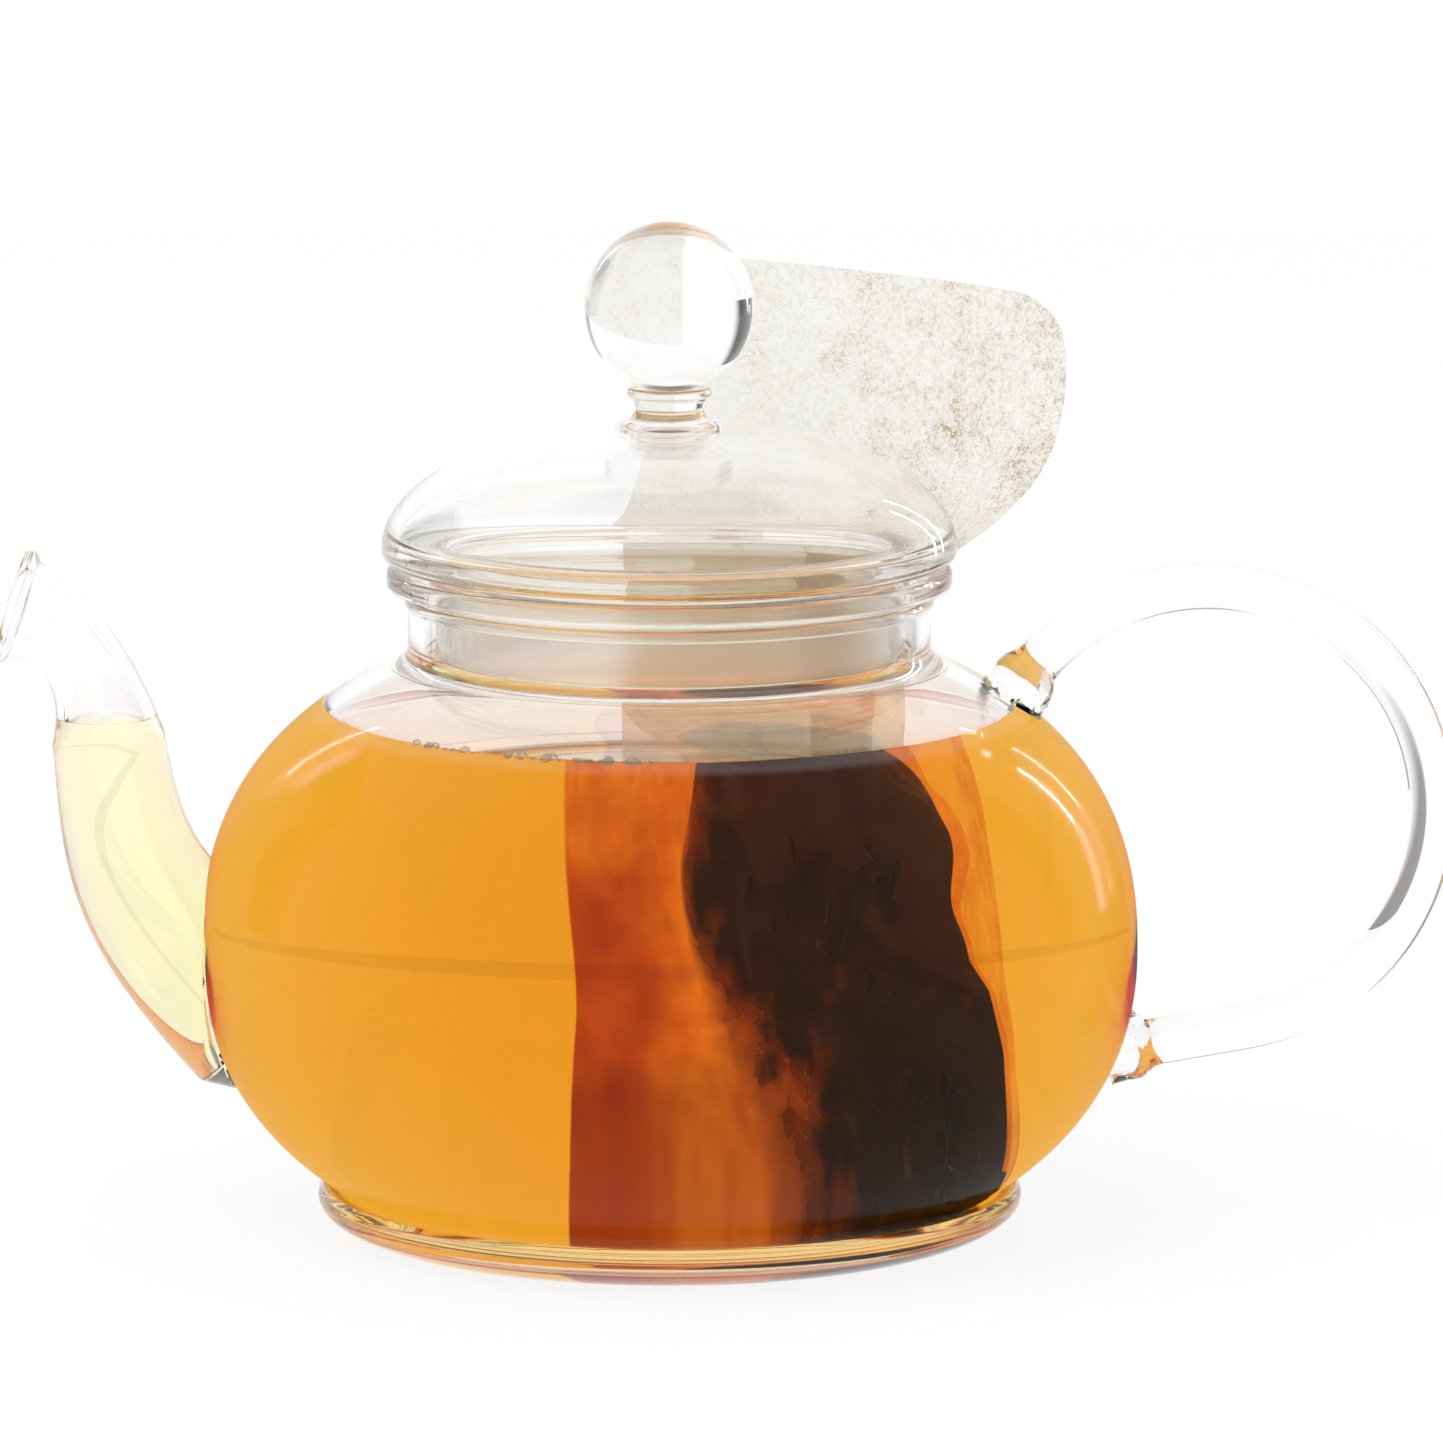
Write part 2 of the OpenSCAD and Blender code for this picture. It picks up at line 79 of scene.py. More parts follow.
def soften(p0, p1, p2, steps=6):
    return [tuple((1 - t) ** 2 * a + 2 * t * (1 - t) * b + t * t * c for a, b, c in zip(p0, p1, p2))
            for t in (i / steps for i in range(steps + 1))]


def finePoints(points, longest):  # splits long stretches so that the spun rings are even
    fine = [points[0]]
    for a, b in zip(points, points[1:]):
        gap = math.dist(a, b)
        if gap < 1e-4:
            continue
        parts = max(1, math.ceil(gap / longest))
        fine += [(mix(a[0], b[0], i / parts), mix(a[1], b[1], i / parts)) for i in range(1, parts + 1)]
    return fine


def shadeSmooth(bm, crease):  # leaves edges sharper than the crease, and open ones, unsmoothed
    for face in bm.faces:
        face.smooth = True
    for edge in bm.edges:
        edge.smooth = len(edge.link_faces) != 2 or edge.calc_face_angle(0) < math.radians(crease)


def makePiece(name, bm, crease=30):
    bmesh.ops.remove_doubles(bm, verts=bm.verts, dist=1e-6)
    shadeSmooth(bm, crease)
    mesh = bpy.data.meshes.new(name)
    bm.to_mesh(mesh)
    bm.free()
    piece = bpy.data.objects.new(name, mesh)
    scene.collection.objects.link(piece)
    return piece


def turned(name, profile, turns):  # a closed solid spun from an outline in millimetres
    bm = bmesh.new()
    verts = [bm.verts.new((r * mm, 0, z * mm)) for r, z in profile]
    edges = [bm.edges.new(pair) for pair in zip(verts, verts[1:])]
    bmesh.ops.spin(bm, geom=verts + edges, cent=(0, 0, 0), axis=(0, 0, 1),
                   angle=2 * math.pi, steps=turns, use_merge=True)
    bmesh.ops.remove_doubles(bm, verts=bm.verts, dist=1e-6)
    bmesh.ops.recalc_face_normals(bm, faces=bm.faces)
    return makePiece(name, bm)


def drawn(name, line, radii, sides):  # a round rod along a line in the plane y = 0, in millimetres
    last = len(line) - 1
    stations = []
    for i, (point, radius) in enumerate(zip(line, radii)):
        along = line[min(i + 1, last)] - line[max(i - 1, 0)]
        stations.append(Matrix.Translation(Vector((point.x, 0, point.y)) * mm)
                        @ Matrix.Rotation(math.atan2(along.x, along.y), 4, "Y")
                        @ Matrix.Scale(radius * mm, 4))
    bm = bmesh.new()
    bmesh.ops.create_circle(bm, cap_ends=True, segments=sides, radius=1, matrix=stations[0])
    bm.faces.ensure_lookup_table()
    cap = bm.faces[0]
    for before, after in zip(stations, stations[1:]):
        cap = bmesh.ops.extrude_discrete_faces(bm, faces=[cap])["faces"][0]
        bmesh.ops.transform(bm, matrix=after @ before.inverted(), verts=cap.verts)
    bmesh.ops.holes_fill(bm, edges=[e for e in bm.edges if e.is_boundary], sides=0)
    bmesh.ops.recalc_face_normals(bm, faces=bm.faces)
    return makePiece(name, bm)


def combine(piece, tool, operation, keepTool=False):
    cut = piece.modifiers.new("join", "BOOLEAN")
    cut.operation = operation
    cut.object = tool
    cut.solver = "MANIFOLD"
    done = piece.evaluated_get(bpy.context.evaluated_depsgraph_get())
    mesh = bpy.data.meshes.new_from_object(done)
    piece.modifiers.clear()
    piece.data = mesh
    if not keepTool:
        bpy.data.objects.remove(tool)
    return piece


def resharpen(piece, crease):  # cleans the seams that cuts and unions leave
    bm = bmesh.new()
    bm.from_mesh(piece.data)
    bmesh.ops.remove_doubles(bm, verts=bm.verts, dist=2e-6)
    bmesh.ops.dissolve_degenerate(bm, edges=bm.edges, dist=2e-6)
    shadeSmooth(bm, crease)
    bm.to_mesh(piece.data)
    bm.free()
    return piece


def dress(piece, *materials):
    piece.data.materials.clear()
    for material in materials:
        piece.data.materials.append(material)


def startMaterial(name):
    material = bpy.data.materials.new(name)
    material.use_nodes = True
    nodes = material.node_tree.nodes
    nodes.clear()
    return material, nodes, material.node_tree.links, nodes.new("ShaderNodeOutputMaterial")


def addNoise(nodes, links, scale, detail=3, rough=0.5, stretch=(1, 1, 1), turn=(0, 0, 0)):
    place = nodes.new("ShaderNodeTexCoord")
    fit = nodes.new("ShaderNodeMapping")
    fit.inputs["Scale"].default_value = stretch
    fit.inputs["Rotation"].default_value = turn
    grain = nodes.new("ShaderNodeTexNoise")
    grain.inputs["Scale"].default_value = scale
    grain.inputs["Detail"].default_value = detail
    grain.inputs["Roughness"].default_value = rough
    links.new(place.outputs["Object"], fit.inputs["Vector"])
    links.new(fit.outputs["Vector"], grain.inputs["Vector"])
    return grain.outputs["Fac"]


def addRamp(nodes, links, source, stops):
    ramp = nodes.new("ShaderNodeValToRGB")
    first, last = ramp.color_ramp.elements
    first.position, first.color = stops[0][0], (*stops[0][1], 1)
    last.position, last.color = stops[-1][0], (*stops[-1][1], 1)
    for spot, colour in stops[1:-1]:
        ramp.color_ramp.elements.new(spot).color = (*colour, 1)
    links.new(source, ramp.inputs["Fac"])
    return ramp.outputs["Color"]


def plug(links, socket, value):  # a value is set on the socket, and another node's output is linked to it
    if isinstance(value, (int, float)):
        socket.default_value = value
    elif isinstance(value, tuple):
        socket.default_value = (*value, 1)
    else:
        links.new(value, socket)


def addMath(nodes, links, operation, first, second, clamp=False):
    node = nodes.new("ShaderNodeMath")
    node.operation = operation
    node.use_clamp = clamp
    for socket, value in zip(node.inputs, (first, second)):
        plug(links, socket, value)
    return node.outputs["Value"]


def addRange(nodes, links, source, low, high, toLow=0, toHigh=1):
    node = nodes.new("ShaderNodeMapRange")
    ends = {"From Min": low, "From Max": high, "To Min": toLow, "To Max": toHigh}
    for name, value in ends.items():
        node.inputs[name].default_value = value
    links.new(source, node.inputs["Value"])
    return node.outputs["Result"]


def addMix(nodes, links, share, first, second, blend="MIX"):
    node = nodes.new("ShaderNodeMix")
    node.data_type = "RGBA"
    node.blend_type = blend
    for index, value in ((0, share), (6, first), (7, second)):
        plug(links, node.inputs[index], value)
    return node.outputs[2]


def addBump(nodes, links, height, distance, strength=1):
    bump = nodes.new("ShaderNodeBump")
    bump.inputs["Distance"].default_value = distance
    bump.inputs["Strength"].default_value = strength
    links.new(height, bump.inputs["Height"])
    return bump.outputs["Normal"]


def addShader(nodes, links, kind, **values):  # sockets are named as in Blender, with _ for a space
    node = nodes.new("ShaderNode" + kind)
    for name, value in values.items():
        plug(links, node.inputs[name.replace("_", " ")], value)
    return node.outputs[0]


def choose(nodes, links, share, first, second):
    node = nodes.new("ShaderNodeMixShader")
    for socket, value in zip(node.inputs, (share, first, second)):
        plug(links, socket, value)
    return node.outputs["Shader"]


def addPlace(nodes, links):  # the point's own place in the part, as X, Y and Z
    place = nodes.new("ShaderNodeTexCoord")
    split = nodes.new("ShaderNodeSeparateXYZ")
    links.new(place.outputs["Object"], split.inputs["Vector"])
    return split.outputs


glassLook = {
    "ior": 1.5, "waveScale": 38, "waveHeight": 0.00004, "waveStretch": (1, 1, 2.4),
    "wetAndShadedMirror": 0.06, "wetZ": 7, "sheen": 0.12, "sheenRough": 0.12, "footPaintedAmber": (0.93, 0.67, 0.25),
    "mistLow": 0.2, "mistHigh": 0.3, "mistScale": 70, "mistTint": (1.0, 0.94, 0.79),
    "veil": 0.16, "veilTint": (1.0, 0.93, 0.8),
}


def makeGlass(name, misted=False, wetted=False, outside=False, tint=(1, 1, 1)):
    material, nodes, links, out = startMaterial(name)
    ior = glassLook["ior"]
    wave = addNoise(nodes, links, glassLook["waveScale"], detail=1, stretch=glassLook["waveStretch"])
    ripple = addBump(nodes, links, wave, glassLook["waveHeight"])
    rough = 0
    if misted:
        tint = glassLook["mistTint"]
        fog = addNoise(nodes, links, glassLook["mistScale"], detail=2)
        rough = addRange(nodes, links, fog, 0, 1, glassLook["mistLow"], glassLook["mistHigh"])
    surface = addShader(nodes, links, "BsdfPrincipled", Base_Color=tint, Transmission_Weight=1, IOR=ior,
                        Roughness=rough, Normal=ripple)
    if misted:  # condensed steam is milky
        veil = addShader(nodes, links, "BsdfTranslucent", Color=glassLook["veilTint"])
        surface = choose(nodes, links, glassLook["veil"], surface, veil)
    if wetted:  # glass hardly mirrors where tea stands against it, and on the bowl's outer face this dimmed mirror is painted shade
        share = glassLook["wetAndShadedMirror"]
        if outside:  # but light already inside the wall is held in it as usual
            leaving = nodes.new("ShaderNodeNewGeometry").outputs["Backfacing"]
            share = addMath(nodes, links, "MAXIMUM", leaving, share)
        bent = addShader(nodes, links, "BsdfRefraction", IOR=ior, Roughness=0, Normal=ripple)
        surface = choose(nodes, links, share, bent, surface)
    if outside:  # and its outer face keeps a soft highlight
        edge = addShader(nodes, links, "Fresnel", IOR=ior)
        entering = addMath(nodes, links, "SUBTRACT", 1, leaving)
        share = addMath(nodes, links, "MULTIPLY", edge, glassLook["sheen"])
        gloss = addShader(nodes, links, "BsdfGlossy", Roughness=glassLook["sheenRough"])
        surface = choose(nodes, links, addMath(nodes, links, "MULTIPLY", entering, share), surface, gloss)
    links.new(surface, out.inputs["Surface"])
    return material


teaLook = {
    "level": 66.3, "ior": 1.333, "sheenFrom": 0.8, "sheenTo": 0.1, "mirror": 0.1,
    "density": 42, "colour": (0.965, 0.755, 0.01), "spoutDensity": 38, "spoutColour": (0.976, 0.91, 0.06),
}


def makeTea(name, colour, density):
    material, nodes, links, out = startMaterial(name)
    level = teaLook["level"]
    top = addRange(nodes, links, addPlace(nodes, links)["Z"], (level - teaLook["sheenFrom"]) * mm,
                   (level - teaLook["sheenTo"]) * mm)  # its free surface mirrors as tea does, with a painted reflection added by a coat layer there
    mirror = addRange(nodes, links, top, 0, 1, teaLook["mirror"], 1)
    surface = addShader(nodes, links, "BsdfPrincipled", Base_Color=(1, 1, 1), Transmission_Weight=1,
                        IOR=teaLook["ior"], Roughness=0, Specular_Tint=mirror, Coat_Weight=top)
    body = addShader(nodes, links, "VolumeAbsorption", Color=colour, Density=density)
    links.new(surface, out.inputs["Surface"])
    links.new(body, out.inputs["Volume"])
    return material


paperLook = {
    "pale": (1.0, 0.99, 0.965), "fibre": (0.56, 0.43, 0.25), "damp": (1.0, 0.92, 0.78),
    "wetPale": (1.0, 0.8, 0.6), "wetFibre": (0.84, 0.53, 0.33), "lowerLeftTint": (0.8, 0.58, 0.45), "silt": (0.84, 0.8, 0.8),
    "layers": ((900, 0.4), (1300, 1.7), (1750, 2.9)), "fibreWidth": 0.045, "cloudShare": 0.14, "grainShare": 0.18,
    "cloudScale": 140, "grainScale": 1500, "blotchScale": 210, "driftScale": 60, "driftRise": 0.014, "driftRun": 0.016,
    "freeEdge": (0.005, 0.05), "lowerLeftZ": (0.0462, 0.0448), "lowerLeftX": (0.009, 0.005), "siltZ": (0.0305, 0.0285),
    "dampZ": (0.1, 0.09), "wetZ": (0.069, 0.0665), "bump": 0.00008, "bumpShare": 0.5,
    "through": 0.62, "clearDry": 0.46, "clearWet": 0.945,
}


def addFibres(nodes, links):  # each layer's contour lines, broken up, are short fibres
    fibres = None
    for scale, turn in paperLook["layers"]:
        wander = addNoise(nodes, links, scale, detail=1.5, turn=(turn, turn / 2, turn))
        broken = addNoise(nodes, links, scale * 0.8, detail=1, turn=(turn / 3, turn, 0))
        away = addMath(nodes, links, "ABSOLUTE", addMath(nodes, links, "SUBTRACT", wander, 0.5), 0)
        line = addRange(nodes, links, away, 0, paperLook["fibreWidth"], 1, 0)
        layer = addMath(nodes, links, "MULTIPLY", line, addRange(nodes, links, broken, 0.47, 0.6))
        fibres = layer if fibres is None else addMath(nodes, links, "MAXIMUM", fibres, layer)
    return fibres


def addDensity(nodes, links, along):  # fibres, clouds and grain together, denser towards the flap's free edge
    cloud = addNoise(nodes, links, paperLook["cloudScale"], detail=4, rough=0.7)
    cloud = addRange(nodes, links, cloud, 0.45, 0.68)
    grain = addNoise(nodes, links, paperLook["grainScale"], detail=3, rough=0.7)
    grain = addRange(nodes, links, grain, 0.42, 0.7)
    dense = addMath(nodes, links, "MULTIPLY", addFibres(nodes, links), addRange(nodes, links, cloud, 0, 1, 0.3, 0.9))
    for extra, share in ((cloud, paperLook["cloudShare"]), (grain, paperLook["grainShare"])):
        dense = addMath(nodes, links, "ADD", dense, addMath(nodes, links, "MULTIPLY", extra, share))
    heavy = addRange(nodes, links, along, *paperLook["freeEdge"], 0.5, 1.5)
    return addMath(nodes, links, "MULTIPLY", dense, heavy, clamp=True)


def makePaper():
    material, nodes, links, out = startMaterial("filterPaper")
    place = addPlace(nodes, links)

    def tinted(share, colour, tint):
        return addMix(nodes, links, share, colour, addMix(nodes, links, 1.0, colour, tint, "MULTIPLY"))

    dense = addDensity(nodes, links, place["X"])
    dry = addMix(nodes, links, dense, paperLook["pale"], paperLook["fibre"])
    blotch = addNoise(nodes, links, paperLook["blotchScale"], detail=6, rough=0.7)
    wet = addMix(nodes, links, addRange(nodes, links, blotch, 0.38, 0.66), paperLook["wetPale"], paperLook["wetFibre"])
    drift = addNoise(nodes, links, paperLook["driftScale"], detail=3, rough=0.6)
    height, across = (addMath(nodes, links, "ADD", spot, addMath(nodes, links, "MULTIPLY", drift, reach))
                      for spot, reach in ((place["Z"], paperLook["driftRise"]), (place["X"], paperLook["driftRun"])))
    # the paper turns darker and browner below about 45 mm towards the bag's left end
    darkened = addMath(nodes, links, "MULTIPLY", addRange(nodes, links, height, *paperLook["lowerLeftZ"]),
                      addRange(nodes, links, across, *paperLook["lowerLeftX"]))
    wet = tinted(darkened, wet, paperLook["lowerLeftTint"])
    wet = tinted(addRange(nodes, links, height, *paperLook["siltZ"]), wet, paperLook["silt"])
    dampness = addRange(nodes, links, height, *paperLook["dampZ"])
    wetness = addRange(nodes, links, place["Z"], *paperLook["wetZ"])
    tone = addMix(nodes, links, wetness, tinted(dampness, dry, paperLook["damp"]), wet)
    front = addShader(nodes, links, "BsdfDiffuse", Color=tone, Normal=addBump(
        nodes, links, dense, paperLook["bump"], paperLook["bumpShare"]))
    sheet = choose(nodes, links, paperLook["through"], front, addShader(nodes, links, "BsdfTranslucent", Color=tone))
    gaps = addRange(nodes, links, wetness, 0, 1, paperLook["clearDry"], paperLook["clearWet"])
    loose = choose(nodes, links, gaps, sheet, addShader(nodes, links, "BsdfTransparent", Color=tone))
    # light is scattered once as it enters a ply and leaves it freely
    leaving = nodes.new("ShaderNodeNewGeometry").outputs["Backfacing"]
    ply = choose(nodes, links, leaving, loose, addShader(nodes, links, "BsdfTransparent"))
    links.new(ply, out.inputs["Surface"])
    return material


leafLook = {
    "dark": (0.003, 0.0015, 0.001), "brown": (0.016, 0.007, 0.003), "tan": (0.16, 0.065, 0.02),
    "filmAndSheen": (0.055, 0.032, 0.028), "glow": (0.42, 0.24, 0.05), "clear": (0.62, 0.4, 0.2),
    "grainScale": 330, "driftScale": 75, "grainShare": 0.55, "bump": 0.0003, "rough": 0.45, "shine": 0.2,
    "speckle": 0.45, "thin": 0.6,
}


def readLayer(nodes, name):  # a value that the leaves' points carry
    layer = nodes.new("ShaderNodeAttribute")
    layer.attribute_name = name
    return layer.outputs["Fac"]


def makeLeaf():
    material, nodes, links, out = startMaterial("wetTeaLeaf")
    grain = addNoise(nodes, links, leafLook["grainScale"], detail=5, rough=0.65)
    drift = addNoise(nodes, links, leafLook["driftScale"], detail=4, rough=0.6)
    both = addMath(nodes, links, "ADD", addMath(nodes, links, "MULTIPLY", grain, leafLook["grainShare"]),
                   addMath(nodes, links, "MULTIPLY", drift, 1 - leafLook["grainShare"]))
    tone = addRamp(nodes, links, both, [(0.42, leafLook["dark"]), (0.56, leafLook["brown"]), (0.7, leafLook["tan"])])
    mass, above = readLayer(nodes, "mass"), readLayer(nodes, "filmAndSheen")
    # painted reflection: above the dark top the leaves turn a lighter grey-brown, as a soft light mirrored in the
    # bowl's front would show
    filmAndSheen = addMath(nodes, links, "ADD", above, addMath(nodes, links, "MULTIPLY", drift, 2))
    tone = addMix(nodes, links, addRange(nodes, links, filmAndSheen, 0.7, 1.7), tone, leafLook["filmAndSheen"])
    leaf = addShader(nodes, links, "BsdfPrincipled", Base_Color=tone, Roughness=leafLook["rough"],
                     Specular_IOR_Level=leafLook["shine"], Normal=addBump(nodes, links, grain, leafLook["bump"]))
    speckle = addRange(nodes, links, both, 0.4, 0.6, leafLook["speckle"], -leafLook["speckle"])
    solid = addRange(nodes, links, addMath(nodes, links, "ADD", mass, speckle), -0.1, 0.85)
    solid = addMath(nodes, links, "MULTIPLY", solid, addRange(nodes, links, mass, 0, 0.3))
    thin = choose(nodes, links, addRange(nodes, links, solid, 0.4, 1, leafLook["thin"], 0), leaf,
                  addShader(nodes, links, "BsdfTranslucent", Color=leafLook["glow"]))
    darkened = addMix(nodes, links, addRange(nodes, links, mass, 0, 0.35), (1, 1, 1), leafLook["clear"])
    clear = addShader(nodes, links, "BsdfTransparent", Color=darkened)
    links.new(choose(nodes, links, solid, clear, thin), out.inputs["Surface"])
    return material


clearGlass = makeGlass("clearGlass")
mistedGlass = makeGlass("mistedGlass", misted=True)
wettedGlass = makeGlass("wettedGlass", wetted=True)
bowlGlass = makeGlass("bowlGlass", wetted=True, outside=True)
paintedAmberFootGlass = makeGlass("paintedAmberFootGlass", tint=glassLook["footPaintedAmber"])  # painted light: the clear foot is tinted with the tea's amber that it would bend round from the bowl
teaLiquid = makeTea("brewedTea", teaLook["colour"], teaLook["density"])
teaThin = makeTea("brewedTeaThin", teaLook["spoutColour"], teaLook["spoutDensity"])
filterPaper = makePaper()
leafSkin = makeLeaf()
print("materials ready")

# the blown bowl with its neck, lip and pressed foot
pot = {
    "bowlR": 60, "midZ": 36.8, "shoulderRise": 42.4, "bellyUnder": 3.6,
    "shoulderPower": 2.36, "bellyPower": 2.22, "wall": 2, "floorT": 3.2,
    "grooveZ": 6, "footLip": 3.3, "footHeel": 12.6, "footMid": 4.8, "footTurn": 20,
    "neckR": 33.4, "neckWall": 2.1, "neckH": 11.7, "fillet": 2.2,
    "rimOut": 2.7, "rimH": 2.6, "rimRound": 0.8, "beadDrop": 4.25, "beadOut": 0.4, "beadH": 1.6,
    "foldZ": 0.25, "midStep": 0.4, "turns": 224, "ringGap": 1.3,
}
pot["bellyDrop"] = pot["midZ"] + pot["bellyUnder"]
pot["neckInR"] = pot["neckR"] - pot["neckWall"]


def shoulder(depth):  # the bowl's upper curve, at a depth in its wall
    return pot["bowlR"] - depth, pot["shoulderRise"] - depth, pot["shoulderPower"]


def belly(depth):
    return pot["bowlR"] - depth, pot["bellyDrop"] - depth, pot["bellyPower"]


pot["neckZ"] = pot["midZ"] + distanceAt(*shoulder(0), pot["neckR"])
pot["neckInZ"] = pot["midZ"] + distanceAt(*shoulder(pot["wall"]), pot["neckInR"])
pot["rimZ"] = pot["neckZ"] + pot["neckH"]
pot["rimR"] = pot["neckR"] + pot["rimOut"]


def bowlRadius(z, depth=0):
    if z > pot["midZ"]:
        return roundedOff(*shoulder(depth), z - pot["midZ"])
    return roundedOff(*belly(depth), pot["midZ"] - z)


def bowlCurve(depth, lowZ, highZ, lowSteps=44, highSteps=44):  # the bowl's wall from lowZ up to highZ
    low = swell(*belly(depth), pot["midZ"] - lowZ, 0, lowSteps)
    high = swell(*shoulder(depth), pot["midStep"], highZ - pot["midZ"], highSteps)
    return [(r, pot["midZ"] - off) for r, off in low] + [(r, pot["midZ"] + off) for r, off in high]


def potOutside():
    footR = bowlRadius(pot["grooveZ"]) + pot["footLip"]
    neckR, neckZ, rimR, rimZ = pot["neckR"], pot["neckZ"], pot["rimR"], pot["rimZ"]
    fillet, rimRound = pot["fillet"], pot["rimRound"]
    underZ, beadZ = rimZ - pot["rimH"], rimZ - pot["beadDrop"]
    filletZ = pot["midZ"] + distanceAt(*shoulder(0), neckR + fillet)
    flatR = footR - pot["footHeel"]
    outline = [(0, pot["foldZ"])] + soften((flatR - 3, pot["foldZ"]), (flatR - 1, 0.2), (flatR, 0))
    outline += arcPoints(flatR, pot["footMid"], pot["footHeel"], pot["footMid"], -90, pot["footTurn"], 16)
    outline += bowlCurve(0, pot["grooveZ"], filletZ, 40)
    outline += soften((neckR + fillet, neckZ - fillet / 3), (neckR, neckZ), (neckR, neckZ + fillet), 8)
    outline += arcPoints(neckR, beadZ, pot["beadOut"], pot["beadH"] / 2, -90, 90, 10)
    outline += soften((neckR, underZ - rimRound), (neckR, underZ), (rimR - rimRound, underZ))
    outline += soften((rimR - rimRound, underZ), (rimR, underZ), (rimR, underZ + rimRound))
    outline += soften((rimR, rimZ - rimRound), (rimR, rimZ), (rimR - rimRound, rimZ))
    outline += [(pot["neckInR"] + rimRound, rimZ), (0, rimZ)]
    return finePoints(outline, pot["ringGap"])


def potInside(depth, lift):  # the bore's outline, moved out into the glass by depth and run past the rim by lift
    rimZ, rimRound, inR = pot["rimZ"], pot["rimRound"], pot["neckInR"]
    floorZ = pot["floorT"] - depth
    outline = [(0, floorZ)] + bowlCurve(pot["wall"] - depth, floorZ, pot["neckInZ"])
    outline += soften((inR, rimZ - rimRound), (inR, rimZ), (inR + rimRound, rimZ))
    outline += [(inR + rimRound + 0.4, rimZ + lift), (0, rimZ + lift)]
    return finePoints(outline, pot["ringGap"])


spout = {
    "rootH": 34.5, "rootTilt": 43, "out": 11.8, "waistH": 64, "waistLean": 7,
    "mouthOut": 12.7, "mouthRise": 17.2, "mouthTilt": 18,
    "rootD": 22.4, "waistD": 14.4, "beakD": 9, "mouthD": 14.2, "wall": 1.6, "holeD": 14, "lipR": 1.15,
    "inset": 10, "footRun": 8, "footShare": 0.6, "rootSwell": 1.3, "pulls": (22, 16, 9, 8), "overrun": 3,
    "holeFrom": -10, "holeTo": 4, "steps": 30, "sides": 72,
}


def aimed(tilt, side=-1):
    return Vector((side * math.cos(math.radians(tilt)), math.sin(math.radians(tilt))))


def spoutLine():
    rootDir = aimed(spout["rootTilt"])
    start = Vector((-bowlRadius(spout["rootH"]), spout["rootH"])) - rootDir * spout["inset"]
    waist = Vector((-pot["bowlR"] - spout["out"], spout["waistH"]))
    waistDir = aimed(90 - spout["waistLean"])
    mouth = waist + Vector((-spout["mouthOut"], spout["mouthRise"]))
    mouthDir = aimed(spout["mouthTilt"])
    a, b, c, d = spout["pulls"]
    steps = spout["steps"]
    line = [start - rootDir * spout["footRun"]]
    radii = [spout["footShare"] * spout["rootD"] / 2]
    for i in range(steps + 1):
        t = i / steps
        line.append(bezier(t, start, start + rootDir * a, waist - waistDir * b, waist))
        radii.append((spout["waistD"] + (spout["rootD"] - spout["waistD"]) * (1 - t) ** spout["rootSwell"]) / 2)
    for i in range(1, steps + 1):
        t = i / steps
        line.append(bezier(t, waist, waist + waistDir * c, mouth - mouthDir * d, mouth))
        radii.append(bezier(t, spout["waistD"], spout["beakD"], spout["beakD"], spout["mouthD"]) / 2)
    return line, radii


def spoutBore(extra):
    line, radii = spoutLine()
    rootDir, mouthDir = aimed(spout["rootTilt"]), aimed(spout["mouthTilt"])
    radii = [r - spout["wall"] + extra for r in radii]
    line = [line[0] - rootDir * spout["overrun"]] + line + [line[-1] + mouthDir * spout["overrun"]]
    return drawn("spoutBore", line, [radii[0]] + radii + [radii[-1]], spout["sides"])


def spoutHole(extra, start):
    rootDir = aimed(spout["rootTilt"])
    middle = Vector((-bowlRadius(spout["rootH"]), spout["rootH"]))
    line = [middle + rootDir * mix(start, spout["holeTo"], i / 16) for i in range(17)]
    return drawn("spoutHole", line, [spout["holeD"] / 2 + extra] * len(line), spout["sides"])


def spoutLip(middle, radius):  # the fire-polished lip
    bm = bmesh.new()
    bead = spout["lipR"]
    ring = radius - spout["wall"] / 2
    bmesh.ops.create_circle(bm, segments=16, radius=bead * mm,
                            matrix=Matrix.Translation((ring * mm, 0, 0)) @ Matrix.Rotation(math.pi / 2, 4, "X"))
    bmesh.ops.spin(bm, geom=bm.verts[:] + bm.edges[:], cent=(0, 0, 0), axis=(0, 0, 1), angle=2 * math.pi,
                   steps=spout["sides"], use_merge=True)
    bmesh.ops.recalc_face_normals(bm, faces=bm.faces)
    facing = aimed(spout["mouthTilt"])
    turn = Matrix.Rotation(math.atan2(facing.x, facing.y), 4, "Y")
    back = middle - facing * bead
    bmesh.ops.transform(bm, matrix=Matrix.Translation(Vector((back.x, 0, back.y)) * mm) @ turn, verts=bm.verts)
    return makePiece("spoutLip", bm)


handle = {
    "rodD": 6, "loopR": 28.8, "loopOut": 8.8, "loopRise": 17.9, "loopEnd": -80,
    "flareD": 8.6, "flareStand": 1.8, "flareL": 3, "flarePower": 1.6, "lump": 0.85, "lumpSize": 1.3, "lumpReach": 5,
    "armL": 40, "steps": 96, "sides": 40,
}


